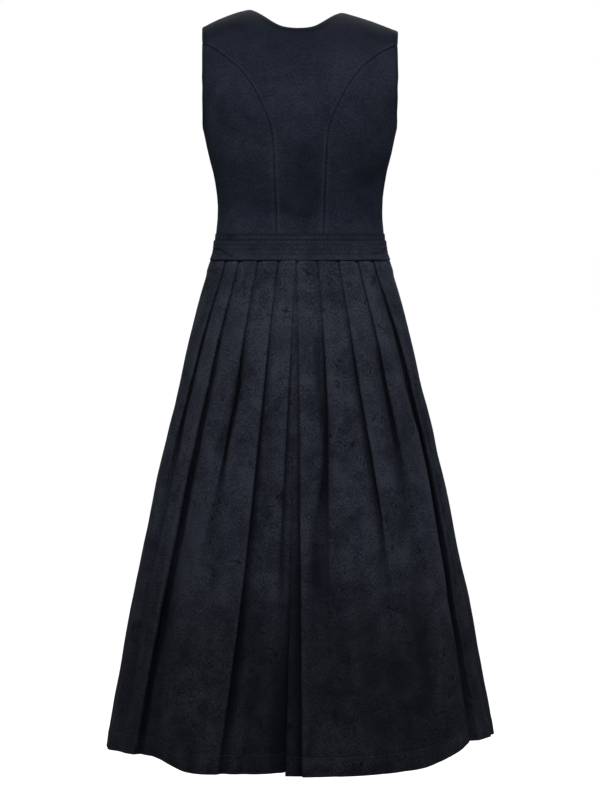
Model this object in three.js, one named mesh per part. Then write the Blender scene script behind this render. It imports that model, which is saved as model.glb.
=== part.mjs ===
// A dirndl: a sleeveless bodice in seven panels, a waistband of two layers and a skirt of twenty knife pleats,
// in the hollow form that it has when worn.
// Millimetres, +Z up. The front faces -Y and the wearer's left is +X. The origin is level with the top of the
// shoulders, in the middle of the garment.
import * as THREE from 'three';

// Driving sizes
const BODICE_WALL = 1.8;
const BAND_WALL = 1.5;
const SKIRT_WALL = 1.5;
const SEAM_GAP = 0.3; // between two pieces that are sewn together
const LAYER_GAP = 0.7; // between a piece and what lies on it
const BAND_JOINT = 0.006; // radians
const FRONT_OPENING = 0.003; // radians, half of the way between the two fronts
const UNDERARM_Z = -186;
const BAND_TOP_Z = -358;
const BODICE_FOOT_Z = -403.4;
const SKIRT_TOP_Z = -404.2;
const HEM_Z = -1187;
const OVER_BAND = { top: -369, foot: -400 };

// Shoulders: the ridge between front and back is level near the neck and falls away outwards.
const SHOULDER = { neckX: 76, tipX: 158, levelX: 70, fall: 30, bend: 1.4 };
const ARCH_Z = -110; // from here up, front and back arch over to the ridge
const ARCH_RISE = -ARCH_Z * Math.PI / 2;
const ARCH_POWER = 1.1;
const BACK_NECK = { depth: 31, bend: 1.4 };
const FRONT_NECK_Z = -168;

// The body of the bodice: half its width, and its depth behind and in front of the side seams, at each height.
const TORSO = [
  { z: -404, half: 141, back: 97, front: 94 },
  { z: -358, half: 135, back: 93, front: 91 },
  { z: -310, half: 132.6, back: 91, front: 92 },
  { z: -265, half: 139, back: 96, front: 104 },
  { z: -225, half: 149, back: 103, front: 117 },
  { z: -186, half: 157, back: 108, front: 116 },
  { z: -150, half: 163, back: 109, front: 108 },
  { z: -110, half: 168, back: 106, front: 96 },
];
const TORSO_FULLNESS = 2.4; // 2 is an ellipse, more is squarer
const BUST = { x: 80, z: -222, out: 15, wide: 50, tall: 52 };

// The seam from the waist to the armhole that shapes the back, and the one that shapes the front.
const BACK_SEAM = [
  { z: BODICE_FOOT_Z, x: 36 },
  { z: -359, x: 37.3 },
  { z: -289, x: 39.6 },
  { z: -223, x: 42.2 },
  { z: -197, x: 45 },
  { z: -178, x: 50 },
  { z: -161, x: 57.5 },
  { z: -140, x: 67.5 },
  { z: -120, x: 79.5 },
  { z: -100, x: 95 },
  { z: -82, x: 115 },
  { z: -66, x: 137 },
];
const FRONT_SEAM = [
  { z: BODICE_FOOT_Z, x: 54 },
  { z: -340, x: 59 },
  { z: -280, x: 72 },
  { z: -225, x: 84 },
  { z: -180, x: 97 },
  { z: -145, x: 118 },
];
const FRONT_NECKLINE = [
  { z: FRONT_NECK_Z, x: 0.4 },
  { z: -166, x: 24 },
  { z: -156, x: 48 },
  { z: -134, x: 63 },
  { z: -100, x: 69 },
  { z: -60, x: 72 },
];
// Armhole edge, as degrees round from the middle of the back or the front. The rise is the height of the
// edge on the arch, as a share of it.
const BACK_ARMHOLE_LOW = [
  { v: UNDERARM_Z, angle: 90 },
  { v: -180, angle: 84 },
  { v: -165, angle: 77 },
  { v: -140, angle: 72.5 },
  { v: ARCH_Z, angle: 69.5 },
];
const FRONT_ARMHOLE_LOW = [
  { v: UNDERARM_Z, angle: 90 },
  { v: -180, angle: 80 },
  { v: -165, angle: 70 },
  { v: -140, angle: 64.5 },
];
const BACK_SEAM_END = { rise: 0.48, angle: 69.5 };
const FRONT_SEAM_END = { v: -122, angle: 63.5 };
const SHOULDER_TIP = { rise: 1, angle: 70.1 };

const PLACKET = { half: 11, wall: 1.2, off: 0.6, foot: -357.5 };
const BUTTON = { count: 7, radius: 6, thick: 2.6, rim: 0.7, sides: 14, pitch: 26.5, first: -181, stand: 1 };

// The skirt without its pleats: half its width and its depth behind and in front, at each height.
const SKIRT = [
  { z: SKIRT_TOP_Z, half: 144.6, back: 101.5, front: 98.5 },
  { z: -457, half: 161, back: 116, front: 112 },
  { z: -530, half: 180, back: 136, front: 131 },
  { z: -600, half: 195.5, back: 152, front: 147 },
  { z: -680, half: 215, back: 172, front: 166 },
  { z: -760, half: 233, back: 189, front: 183 },
  { z: -840, half: 250, back: 204, front: 198 },
  { z: -920, half: 267, back: 218, front: 212 },
  { z: -1000, half: 283, back: 230, front: 224 },
  { z: -1080, half: 297, back: 241, front: 235 },
  { z: HEM_Z, half: 316, back: 255, front: 248 },
];
const SKIRT_FULLNESS = { top: 2.3, hem: 2.05 };
const SKIRT_ROWS = [SKIRT_TOP_Z, -440, -490, -550, -620, -700, -790, -890, -990, -1090, HEM_Z];

// Pleats. Each row is a fold, from the middle of the skirt to the side seam. At each level it has the angle
// round from the middle, the lap of its edge over the panel beside it (below 0 the fold has opened into a
// slope that wide) and the drop from its edge down to that panel.
const LEVELS = [SKIRT_TOP_Z, -600, -780, -950, HEM_Z];
const PLEATS_A = [
  { angle: [2.9, 5.2, 6.6, 8, 9.5], lap: [12, 9, 4, -12, -20], drop: [4.8, 7, 6, 4, 4] },
  { angle: [14.5, 17, 18.6, 20.4, 24.5], lap: [12, 11, 7, 2, -8], drop: [4.8, 10, 12, 12, 9] },
  { angle: [27.9, 31.8, 36, 40.5, 43], lap: [12, 7, -10, -22, -30], drop: [4.8, 9, 8, 5, 3] },
  { angle: [42.6, 48.9, 52, 54.2, 56.4], lap: [10, 11, 10, 6, -6], drop: [4.8, 12, 15, 15, 10] },
  { angle: [55.4, 65, 70.5, 74, 76], lap: [10, 6, -12, -20, -24], drop: [4.8, 8, 6, 4, 3] },
];
const PLEATS_B = [
  { angle: [-1.9, -0.4, 0, 0.3, 0.6], lap: [12, 12, 11, 10, 9], drop: [4.8, 7, 8, 9, 9] },
  { angle: [11.5, 12.5, 11.4, 10.8, 12], lap: [12, 7, -6, -9, -10], drop: [4.8, 9, 6, 3, 2] },
  { angle: [25.3, 28.9, 32, 34, 36], lap: [12, 10, 0, -16, -24], drop: [4.8, 9, 8, 4, 3] },
  { angle: [39.9, 46, 49, 51, 52], lap: [10, 2, -14, -20, -22], drop: [4.8, 8, 5, 4, 3] },
  { angle: [54.2, 67.5, 69, 66.5, 65], lap: [10, 8, 2, -4, -12], drop: [4.8, 12, 15, 14, 11] },
];
const MIDDLE_SEAM = [2.4, 2.6, 3, 3.5, 4.2]; // degrees at each level, in the hollow between the two halves
const FOLD = { round: 1, lead: 3.5, open: 4 }; // a lap shorter than open is part way to a slope
const PANEL_SAG = 0.3; // of the drop, how far a panel lies in between two folds

// How far the hem rises above its level, by the angle round from the middle.
const HEM_RISE = {
  backLeft: { angle: [0, 25, 35, 45, 60, 90], rise: [5, -3, -3, 10, 8, -2] },
  backRight: { angle: [0, 30, 45, 60, 90], rise: [-2, 0, 6, 25, 21] },
  frontLeft: { angle: [0, 45, 90], rise: [0, 3, -2] },
  frontRight: { angle: [0, 40, 90], rise: [-2, 2, 21] },
};

const navy = (name, shade) => {
  const cloth = new THREE.MeshStandardMaterial({ color: shade, roughness: 0.92, metalness: 0 });
  cloth.name = name;
  return cloth;
};
const BODICE_CLOTH = navy('bodice cloth', 0x1c2233);
const SKIRT_CLOTH = navy('skirt cloth', 0x1b2130);
const BUTTON_HORN = navy('button', 0x11141d);

const rad = THREE.MathUtils.degToRad;
const mix = THREE.MathUtils.lerp;
const turned = (list) => list.slice().reverse();

// A value between those given at rising places, smooth through all of them.
function between(places, values, at) {
  if (at <= places[0]) return values[0];
  const i = places.findIndex((place) => place >= at);
  if (i < 0) return values[values.length - 1];
  const slope = (k) => {
    const [a, b] = [Math.max(k - 1, 0), Math.min(k + 1, places.length - 1)];
    return (values[b] - values[a]) / (places[b] - places[a]);
  };
  const span = places[i] - places[i - 1];
  const t = (at - places[i - 1]) / span;
  const rise = t * t * (3 - 2 * t);
  return mix(values[i - 1], values[i], rise)
    + span * (t * (1 - t) * (1 - t) * slope(i - 1) - t * t * (1 - t) * slope(i));
}

// One column of a table at a height.
function column(table, z, key) {
  const rows = table.slice().sort((a, b) => a.z - b.z);
  return between(rows.map((row) => row.z), rows.map((row) => row[key]), z);
}

const atLevel = (values, z) => between(turned(LEVELS), turned(values), z);

// Depth of a section at an angle round from the middle of the back: + behind, - in front.
function sectionDepth(angle, fullness, back, front) {
  const side = Math.cos(angle);
  const share = (1 - Math.abs(Math.sin(angle)) ** fullness) ** (1 / fullness);
  return side >= 0 ? back * share : -front * share;
}

const ridge = (x) => -SHOULDER.fall
  * (Math.max(0, Math.abs(x) - SHOULDER.levelX) / (SHOULDER.tipX - SHOULDER.levelX)) ** SHOULDER.bend;

// A point of the bodice's outer face. The angle is in radians round from the middle of the back, + to the
// wearer's left. v is the height up to ARCH_Z, and above it the way along the arch to the shoulder ridge.
function torso(angle, v) {
  const z = Math.min(v, ARCH_Z);
  const x = column(TORSO, z, 'half') * Math.sin(angle);
  let y = sectionDepth(angle, TORSO_FULLNESS, column(TORSO, z, 'back'), column(TORSO, z, 'front'));
  if (y < 0) {
    const aside = (Math.abs(x) - BUST.x) / BUST.wide;
    const above = (z - BUST.z) / BUST.tall;
    const inward = Math.min(1, -y / BUST.x);
    y -= BUST.out * inward * Math.exp(-aside * aside - above * above);
  }
  if (v <= ARCH_Z) return new THREE.Vector3(x, y, v);
  const turn = (v - ARCH_Z) / ARCH_RISE * Math.PI / 2;
  const over = Math.cos(turn);
  return new THREE.Vector3(
    x,
    y * Math.sign(over) * Math.abs(over) ** ARCH_POWER,
    ARCH_Z + (ridge(x) - ARCH_Z) * Math.sin(turn),
  );
}

function torsoNormal(angle, v) {
  const round = torso(angle + 0.01, v).sub(torso(angle - 0.01, v));
  const up = torso(angle, v + 0.8).sub(torso(angle, v - 0.8));
  return up.cross(round).normalize();
}

const archV = (rise) => ARCH_Z + ARCH_RISE * rise;

// Where a point seen from behind or in front, at x and z, lies on the bodice: [angle, v].
function place(x, z, front) {
  const angle = Math.asin(x / column(TORSO, Math.min(z, ARCH_Z), 'half'));
  const v = z <= ARCH_Z ? z
    : ARCH_Z + ARCH_RISE * Math.asin((z - ARCH_Z) / (ridge(x) - ARCH_Z)) / (Math.PI / 2);
  return [front ? Math.PI - angle : angle, v];
}

// A smooth line through [angle, v] points, cut into steps of equal length.
function line(points, steps) {
  const toVector = ([angle, v]) => new THREE.Vector2(angle * SHOULDER.tipX, v);
  const curve = new THREE.SplineCurve(points.map(toVector));
  return curve.getSpacedPoints(steps).map((p) => [p.x / SHOULDER.tipX, p.y]);
}

const joined = (...lines) => lines.flatMap((points, i) => (i ? points.slice(1) : points));
const mirrored = (points) => points.map(([angle, v]) => [-angle, v]);

// A patch between four edges. Bottom and top run from the first side to the second. The form of the top edge
// dies away quickly below it.
function patch(bottom, top, first, second) {
  const rows = first.length - 1;
  const columns = bottom.length - 1;
  return first.map((_, i) => bottom.map((_, j) => {
    const [s, t] = [j / columns, (i / rows) ** 2];
    return [0, 1].map((k) => mix(bottom[j][k], top[j][k], t) + mix(first[i][k], second[i][k], s)
      - mix(mix(bottom[0][k], bottom[columns][k], s), mix(top[0][k], top[columns][k], s), t));
  }));
}

// Two grids of points, the outer and the inner face of a wall, closed round their edges into one mesh.
function wallMesh(name, outer, inner, material) {
  const rows = outer.length;
  const columns = outer[0].length;
  const positions = [...outer.flat(), ...inner.flat()].flatMap((p) => [p.x, p.y, p.z]);
  const at = (face, i, j) => face * rows * columns + i * columns + j;
  const index = [];
  const quad = (a, b, c, d) => index.push(a, b, c, a, c, d);
  for (let i = 0; i + 1 < rows; i += 1) {
    for (let j = 0; j + 1 < columns; j += 1) {
      quad(at(0, i, j), at(0, i, j + 1), at(0, i + 1, j + 1), at(0, i + 1, j));
      quad(at(1, i, j), at(1, i + 1, j), at(1, i + 1, j + 1), at(1, i, j + 1));
    }
    quad(at(0, i, 0), at(0, i + 1, 0), at(1, i + 1, 0), at(1, i, 0));
    quad(at(0, i, columns - 1), at(1, i, columns - 1), at(1, i + 1, columns - 1), at(0, i + 1, columns - 1));
  }
  for (let j = 0; j + 1 < columns; j += 1) {
    quad(at(0, 0, j), at(1, 0, j), at(1, 0, j + 1), at(0, 0, j + 1));
    quad(at(0, rows - 1, j), at(0, rows - 1, j + 1), at(1, rows - 1, j + 1), at(1, rows - 1, j));
  }
  const geometry = new THREE.BufferGeometry();
  geometry.setAttribute('position', new THREE.Float32BufferAttribute(positions, 3));
  geometry.setIndex(index);
  if (signedVolume(geometry) < 0) index.reverse();
  geometry.setIndex(index);
  geometry.computeVertexNormals();
  const mesh = new THREE.Mesh(geometry, material);
  mesh.name = name;
  return mesh;
}

function signedVolume(geometry) {
  const position = geometry.getAttribute('position');
  const corner = (i) => new THREE.Vector3().fromBufferAttribute(position, geometry.index.getX(i));
  let volume = 0;
  for (let i = 0; i < geometry.index.count; i += 3) {
    volume += corner(i).dot(corner(i + 1).cross(corner(i + 2))) / 6;
  }
  return volume;
}

// Moves the edge points of a grid off a seam line, along the cloth, by half the seam gap.
function trimmed(grid, normals, seams) {
  const last = { row: grid.length - 1, column: grid[0].length - 1 };
  const edges = {
    bottom: { points: grid[0].map((_, j) => [0, j]), into: [1, 0] },
    top: { points: grid[0].map((_, j) => [last.row, j]), into: [-1, 0] },
    first: { points: grid.map((_, i) => [i, 0]), into: [0, 1] },
    second: { points: grid.map((_, i) => [i, last.column]), into: [0, -1] },
  };
  const moved = grid.map((row) => row.map((p) => p.clone()));
  for (const seam of seams) {
    const { points, into } = edges[seam];
    points.forEach(([i, j], k) => {
      const before = grid[points[Math.max(k - 1, 0)][0]][points[Math.max(k - 1, 0)][1]];
      const next = points[Math.min(k + 1, points.length - 1)];
      const along = grid[next[0]][next[1]].clone().sub(before).normalize();
      const across = normals[i][j].clone().cross(along).normalize();
      const inside = grid[i + into[0]][j + into[1]].clone().sub(grid[i][j]);
      moved[i][j].addScaledVector(across, Math.sign(across.dot(inside)) * SEAM_GAP / 2);
    });
  }
  return moved;
}

// A panel of the bodice, or a layer that lies over it at a height off its face.
function panel(name, places, seams, { off = 0, wall = BODICE_WALL, material = BODICE_CLOTH } = {}) {
  const normals = places.map((row) => row.map(([angle, v]) => torsoNormal(angle, v)));
  const face = places.map((row) => row.map(([angle, v]) => torso(angle, v)));
  const outer = trimmed(face, normals, seams);
  const raised = (by) => outer.map((row, i) => row.map((p, j) => p.clone().addScaledVector(normals[i][j], by)));
  return wallMesh(name, raised(off + (off ? wall : 0)), raised(off ? off : -wall), material);
}

const SEAM_STEPS = 13;
const SIDE_STEPS = 6;
const OPENING_STEPS = 10;
const MIDDLE_EDGE = Math.PI - FRONT_OPENING;

const backSeam = line([
  ...BACK_SEAM.map(({ x, z }) => place(x, z)),
  [rad(BACK_SEAM_END.angle), archV(BACK_SEAM_END.rise)],
], SEAM_STEPS);
const frontSeam = line([
  ...FRONT_SEAM.map(({ x, z }) => place(x, z, true)),
  [Math.PI - rad(FRONT_SEAM_END.angle), FRONT_SEAM_END.v],
], SEAM_STEPS);
const opening = line([[MIDDLE_EDGE, BODICE_FOOT_Z], [MIDDLE_EDGE, FRONT_NECK_Z]], OPENING_STEPS);
const sideSeam = line([[Math.PI / 2, BODICE_FOOT_Z], [Math.PI / 2, UNDERARM_Z]], SEAM_STEPS);
const waistline = (from, to, steps) => line([[from, BODICE_FOOT_Z], [to, BODICE_FOOT_Z]], steps);

const backArmholeLow = line([
  ...BACK_ARMHOLE_LOW.map(({ angle, v }) => [rad(angle), v]),
  [rad(BACK_SEAM_END.angle), archV(BACK_SEAM_END.rise)],
], SIDE_STEPS);
const backArmholeHigh = line([
  [rad(BACK_SEAM_END.angle), archV(BACK_SEAM_END.rise)],
  [rad(SHOULDER_TIP.angle), archV(SHOULDER_TIP.rise)],
], 3);
const frontArmholeLow = line([
  ...FRONT_ARMHOLE_LOW.map(({ angle, v }) => [Math.PI - rad(angle), v]),
  [Math.PI - rad(FRONT_SEAM_END.angle), FRONT_SEAM_END.v],
], SIDE_STEPS);
const frontArmholeHigh = line([
  [Math.PI - rad(FRONT_SEAM_END.angle), FRONT_SEAM_END.v],
  [Math.PI - rad(FRONT_SEAM_END.angle), archV(0.3)],
  [Math.PI - rad(SHOULDER_TIP.angle), archV(SHOULDER_TIP.rise)],
], 6);

const neckAngle = Math.asin(SHOULDER.neckX / TORSO[TORSO.length - 1].half);
const shoulderBack = line([[rad(SHOULDER_TIP.angle), archV(1)], [neckAngle, archV(1)]], 4);
const backNeckline = line(
  [-1, -0.85, -0.68, -0.5, -0.3, 0, 0.3, 0.5, 0.68, 0.85, 1].map((share) => {
    const x = share * SHOULDER.neckX;
    const dip = 0.5 + 0.5 * Math.cos(Math.PI * Math.abs(share) ** BACK_NECK.bend);
    return Math.abs(share) === 1 ? [share * neckAngle, archV(1)] : place(x, ridge(x) - BACK_NECK.depth * dip);
  }),
  12,
);

function bodice() {
  const pieces = [];
  const backSide = joined(backSeam, backArmholeHigh);
  const backTop = joined(mirrored(shoulderBack), backNeckline, turned(shoulderBack));
  const backFoot = waistline(-backSeam[0][0], backSeam[0][0], backTop.length - 1);
  pieces.push(panel('bodice_back_centre', patch(backFoot, backTop, mirrored(backSide), backSide),
    ['first', 'second', 'top']));

  const sideBack = patch(
    waistline(backSeam[0][0], Math.PI / 2, SIDE_STEPS), turned(backArmholeLow), backSeam, sideSeam,
  );
  const sideFront = patch(
    waistline(Math.PI / 2, frontSeam[0][0], SIDE_STEPS), frontArmholeLow, sideSeam, frontSeam,
  );
  const frontSide = joined(frontSeam, frontArmholeHigh);
  const neck = line([
    ...FRONT_NECKLINE.map(({ x, z }) => place(x, z, true)),
    [Math.PI - neckAngle, archV(1)],
  ], frontSide.length - 1 - OPENING_STEPS);
  const frontMiddle = joined(opening, neck);
  const shoulderFront = shoulderBack.map(([angle, v]) => [Math.PI - angle, v]);
  const front = patch(
    waistline(frontSeam[0][0], MIDDLE_EDGE, 4), shoulderFront, frontSide, frontMiddle,
  );
  for (const [side, turn] of [['left', (rows) => rows], ['right', (rows) => rows.map(mirrored)]]) {
    pieces.push(panel(`bodice_side_back_${side}`, turn(sideBack), ['first', 'second']));
    pieces.push(panel(`bodice_side_front_${side}`, turn(sideFront), ['first', 'second']));
    pieces.push(panel(`bodice_front_${side}`, turn(front), ['first', 'top']));
  }
  return pieces;
}

// A strip that lies over the bodice between two heights, with a column of points at each of the angles.
function strip(name, angles, heights, options) {
  return panel(name, heights.map((v) => angles.map((angle) => [angle, v])), [], options);
}

const evenly = (foot, top, steps) => Array.from({ length: steps + 1 }, (_, i) => mix(foot, top, i / steps));

function waistband() {
  // The columns of the panels underneath, on the wearer's left, from the middle of the back to the front.
  const left = joined(
    waistline(0, backSeam[0][0], 7),
    waistline(backSeam[0][0], Math.PI / 2, SIDE_STEPS),
    waistline(Math.PI / 2, frontSeam[0][0], SIDE_STEPS),
    waistline(frontSeam[0][0], Math.PI - BAND_JOINT, 4),
  ).map(([angle]) => angle);
  const around = [...left.slice(1).reverse().map((angle) => -angle), ...left];
  // The over layer meets itself to one side of the middle, so that it covers the joint of the under layer.
  const [last, end] = [left.length - 2, left.length - 1];
  const over = around.slice(0, -1);
  over[over.length - 1] = left[last] - 2 * BAND_JOINT;
  over.unshift(left[last] - 2 * Math.PI, -left[end] - 2 * BAND_JOINT);
  return [
    strip('waistband_under', around, evenly(BODICE_FOOT_Z, BAND_TOP_Z, 3), { off: LAYER_GAP, wall: BAND_WALL }),
    strip('waistband_over', over, evenly(OVER_BAND.foot, OVER_BAND.top, 3),
      { off: 2 * LAYER_GAP + BAND_WALL, wall: BAND_WALL }),
  ];
}

function placket() {
  const row = (v) => {
    const half = Math.asin(PLACKET.half / column(TORSO, v, 'half'));
    return [-1, -0.5, 0, 0.5, 1].map((share) => [Math.PI + share * half, v]);
  };
  const heights = [PLACKET.foot, ...opening.map(([, v]) => v).filter((v) => v > PLACKET.foot)];
  return panel('front_placket', heights.map(row), [], { off: PLACKET.off, wall: PLACKET.wall });
}

// A round button with a rim, standing on the placket.
function button(number) {
  const v = BUTTON.first - BUTTON.pitch * (number - 1);
  const { radius, thick, rim } = BUTTON;
  const profile = [
    new THREE.Vector2(0, 0),
    new THREE.Vector2(radius - rim, 0),
    new THREE.Vector2(radius, rim),
    new THREE.Vector2(radius, thick - rim),
    new THREE.Vector2(radius - rim, thick),
    new THREE.Vector2(0, thick - rim / 2),
  ];
  const mesh = new THREE.Mesh(new THREE.LatheGeometry(profile, BUTTON.sides), BUTTON_HORN);
  const normal = torsoNormal(Math.PI, v);
  mesh.quaternion.setFromUnitVectors(new THREE.Vector3(0, 1, 0), normal);
  mesh.position.copy(torso(Math.PI, v)).addScaledVector(normal, PLACKET.off + PLACKET.wall + BUTTON.stand);
  mesh.name = `button_${number}`;
  return mesh;
}

// A point of the skirt's outline, at an angle in degrees round from its middle, front or back.
function skirtPoint(angle, z, front) {
  const share = (z - SKIRT_TOP_Z) / (HEM_Z - SKIRT_TOP_Z);
  const fullness = mix(SKIRT_FULLNESS.top, SKIRT_FULLNESS.hem, share);
  const turn = rad(Math.min(angle, 90));
  const depth = sectionDepth(turn, fullness, column(SKIRT, z, front ? 'front' : 'back'), 0);
  return new THREE.Vector2(column(SKIRT, z, 'half') * Math.sin(turn), depth);
}

// The path of one pleat, as [distance along from its edge, height off the outline] pairs.
function pleatPath(lap, drop, lead) {
  const folded = THREE.MathUtils.clamp(lap / FOLD.open, 0, 1);
  const closed = [-1, -1, -0.76, -0.53, -0.47, -0.24, 0, 0];
  const open = [-1, -0.98, -0.85, -0.6, -0.4, -0.15, -0.02, 0];
  const heights = open.map((height, i) => drop * mix(height, closed[i], folded));
  const round = FOLD.round * folded;
  const along = lap > 0
    ? [-lead, lap - round, lap, lap - round, round, 0, round, lap + FOLD.lead]
    : [lap - lead, 0.92 * lap, 0.78 * lap, 0.58 * lap, 0.42 * lap, 0.22 * lap, 0.08 * lap, FOLD.lead];
  return along.map((distance, i) => [distance, heights[i]]);
}

// The line of the cloth at one height of a quarter, from the middle seam to the side seam: [angle, height].
function quarterPath(pleats, z, seamAngle, seamDrop, front) {
  const path = [[seamAngle, -seamDrop]];
  pleats.forEach((pleat) => {
    const angle = atLevel(pleat.angle, z);
    const lap = atLevel(pleat.lap, z);
    const drop = atLevel(pleat.drop, z);
    const speed = skirtPoint(angle + 1, z, front).distanceTo(skirtPoint(angle, z, front));
    const before = path[path.length - 1];
    const room = (angle - before[0]) * speed + Math.min(lap, 0);
    const lead = Math.min(FOLD.lead, 0.4 * room);
    const steps = pleatPath(lap, drop, lead);
    const first = angle + steps[0][0] / speed;
    if (path.length > 1) path.push([mix(before[0], first, 0.5), -PANEL_SAG * drop]);
    steps.forEach(([distance, height]) => path.push([angle + distance / speed, height]));
  });
  const [lastAngle] = path[path.length - 1];
  for (const share of [0.35, 0.7, 1]) path.push([mix(lastAngle, 90, share), 0]);
  return path;
}

// The faces of the wall on both sides of a line, in its plane.
function offsetBothWays(points, wall) {
  const direction = (i) => points[Math.min(i + 1, points.length - 1)].clone()
    .sub(points[Math.min(i, points.length - 2)]).normalize();
  return points.map((point, i) => {
    const [before, after] = [direction(Math.max(i - 1, 0)), direction(i)];
    const along = before.clone().add(after).normalize();
    const stretch = Math.min(1 / Math.max(along.dot(after), 0.5), 1.35);
    let across = new THREE.Vector2(-along.y, along.x).multiplyScalar(wall / 2 * stretch);
    if (i === 0) across = new THREE.Vector2(0, wall / 2);
    if (i === points.length - 1) across = new THREE.Vector2(wall / 2, 0);
    return [point.clone().add(across), point.clone().sub(across)];
  });
}

function skirtQuarter(name, pleats, seamSign, hem, { left, front }) {
  const [outer, inner] = [[], []];
  const seamDrop = PLEATS_B[0].drop;
  for (const rowZ of SKIRT_ROWS) {
    const seam = seamSign * atLevel(MIDDLE_SEAM, rowZ);
    const path = quarterPath(pleats, rowZ, seam, atLevel(seamDrop, rowZ), front);
    const points = path.map(([angle, height]) => {
      const on = skirtPoint(Math.abs(angle), rowZ, front);
      const ahead = skirtPoint(Math.abs(angle) + 0.5, rowZ, front);
      const behind = skirtPoint(Math.max(Math.abs(angle) - 0.5, 0), rowZ, front);
      const along = ahead.sub(behind).normalize();
      const out = new THREE.Vector2(-along.y, along.x);
      on.addScaledVector(out, height - SKIRT_WALL / 2);
      if (angle < 0) on.x *= -1;
      return on;
    });
    points[0].x += SEAM_GAP / 2;
    points[points.length - 1].y = SEAM_GAP / 2;
    const sides = offsetBothWays(points, SKIRT_WALL);
    const fall = (rowZ - SKIRT_TOP_Z) / (HEM_Z - SKIRT_TOP_Z);
    const rows = [0, 1].map((face) => sides.map((pair, j) => {
      const z = rowZ + between(hem.angle, hem.rise, Math.abs(path[j][0])) * fall ** 3;
      const p = pair[face];
      return new THREE.Vector3(left ? p.x : -p.x, front ? -p.y : p.y, z);
    }));
    outer.push(rows[0]);
    inner.push(rows[1]);
  }
  return wallMesh(name, outer, inner, SKIRT_CLOTH);
}

function skirt() {
  return [
    skirtQuarter('skirt_back_left', PLEATS_A, 1, HEM_RISE.backLeft, { left: true, front: false }),
    skirtQuarter('skirt_back_right', PLEATS_B, -1, HEM_RISE.backRight, { left: false, front: false }),
    skirtQuarter('skirt_front_left', PLEATS_B, -1, HEM_RISE.frontLeft, { left: true, front: true }),
    skirtQuarter('skirt_front_right', PLEATS_A, 1, HEM_RISE.frontRight, { left: false, front: true }),
  ];
}

const dirndl = new THREE.Group();
dirndl.add(...bodice());
dirndl.add(...waistband());
dirndl.add(placket());
for (let number = 1; number <= BUTTON.count; number += 1) dirndl.add(button(number));
dirndl.add(...skirt());

export default dirndl;
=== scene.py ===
"""A dirndl in midnight blue cotton: a sleeveless princess-seamed bodice, a waistband of two soft layers and a
skirt of twenty knife pleats, in the hollow form that it has when worn.

Shapes are worked out in millimetres and turned into metres where a mesh is made. The front faces -Y, the
wearer's left is +X, and a place round the garment is an angle from the middle of the back, + to the left.
"""

import math

import bmesh
import bpy
import numpy as np
from mathutils import Matrix, Vector, noise


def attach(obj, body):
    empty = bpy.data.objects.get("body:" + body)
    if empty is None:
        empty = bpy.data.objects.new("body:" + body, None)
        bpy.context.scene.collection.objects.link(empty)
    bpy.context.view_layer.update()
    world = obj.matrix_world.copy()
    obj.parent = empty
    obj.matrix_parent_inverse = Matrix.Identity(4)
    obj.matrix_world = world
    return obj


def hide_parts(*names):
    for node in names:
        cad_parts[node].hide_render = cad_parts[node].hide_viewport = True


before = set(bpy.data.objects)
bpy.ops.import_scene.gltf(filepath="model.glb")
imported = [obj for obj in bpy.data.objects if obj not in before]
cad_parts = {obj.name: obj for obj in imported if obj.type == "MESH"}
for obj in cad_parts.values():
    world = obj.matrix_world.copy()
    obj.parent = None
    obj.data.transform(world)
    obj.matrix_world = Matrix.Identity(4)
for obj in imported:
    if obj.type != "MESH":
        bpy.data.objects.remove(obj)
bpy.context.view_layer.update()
MM = 0.001

# ---------------------------------------------------------------- camera, floor and lights

CAMERA = {"back": 4.6, "height": -0.381, "aim": (0, 0, -0.627), "lens": 128, "sensor": 36}
FLOOR_Z = -1.42  # the wearer's shoulders stand this high
FLOOR = {"radius": 40, "grey": 0.35, "roughness": 0.9}
LIGHTS = {
    "key_behind": {"at": (0.02, 1.5, 1.35), "aim": (0, 0.1, -0.12), "size": 1.7, "watts": 16.5, "spread": 80},
    "key_front": {"at": (-0.02, -1.5, 1.35), "aim": (0, -0.1, -0.12), "size": 1.7, "watts": 16, "spread": 80},
    "side_left": {"at": (2.4, 0.3, 0.6), "aim": (0, 0, -0.45), "size": 1.2, "watts": 5.2, "spread": 100},
    "side_right": {"at": (-2.4, 0.3, 0.6), "aim": (0, 0, -0.45), "size": 1.2, "watts": 7.6, "spread": 100},
}
ALL_ROUND = {"colour": (0.9, 0.94, 1, 1), "strength": 0.07}  # the faint light from every side
SEEN_BEHIND = (1, 1, 1, 1)  # the white that the camera sees behind the garment


def point_at(obj, target):
    obj.rotation_euler = (Vector(target) - obj.location).to_track_quat("-Z", "Y").to_euler()


def make_camera():
    lens = bpy.data.cameras.new("camera")
    lens.lens = CAMERA["lens"]
    lens.sensor_width = CAMERA["sensor"]
    camera = bpy.data.objects.new("camera", lens)
    camera.location = (0, CAMERA["back"], CAMERA["height"])
    point_at(camera, CAMERA["aim"])
    bpy.context.scene.collection.objects.link(camera)
    bpy.context.scene.camera = camera


def soft_light(name, at, aim, size, watts, spread):
    light = bpy.data.lights.new(name, "AREA")
    light.shape = "DISK"
    light.size = size
    light.energy = watts
    light.spread = math.radians(spread)
    lamp = bpy.data.objects.new(name, light)
    lamp.location = at
    point_at(lamp, aim)
    bpy.context.scene.collection.objects.link(lamp)


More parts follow.
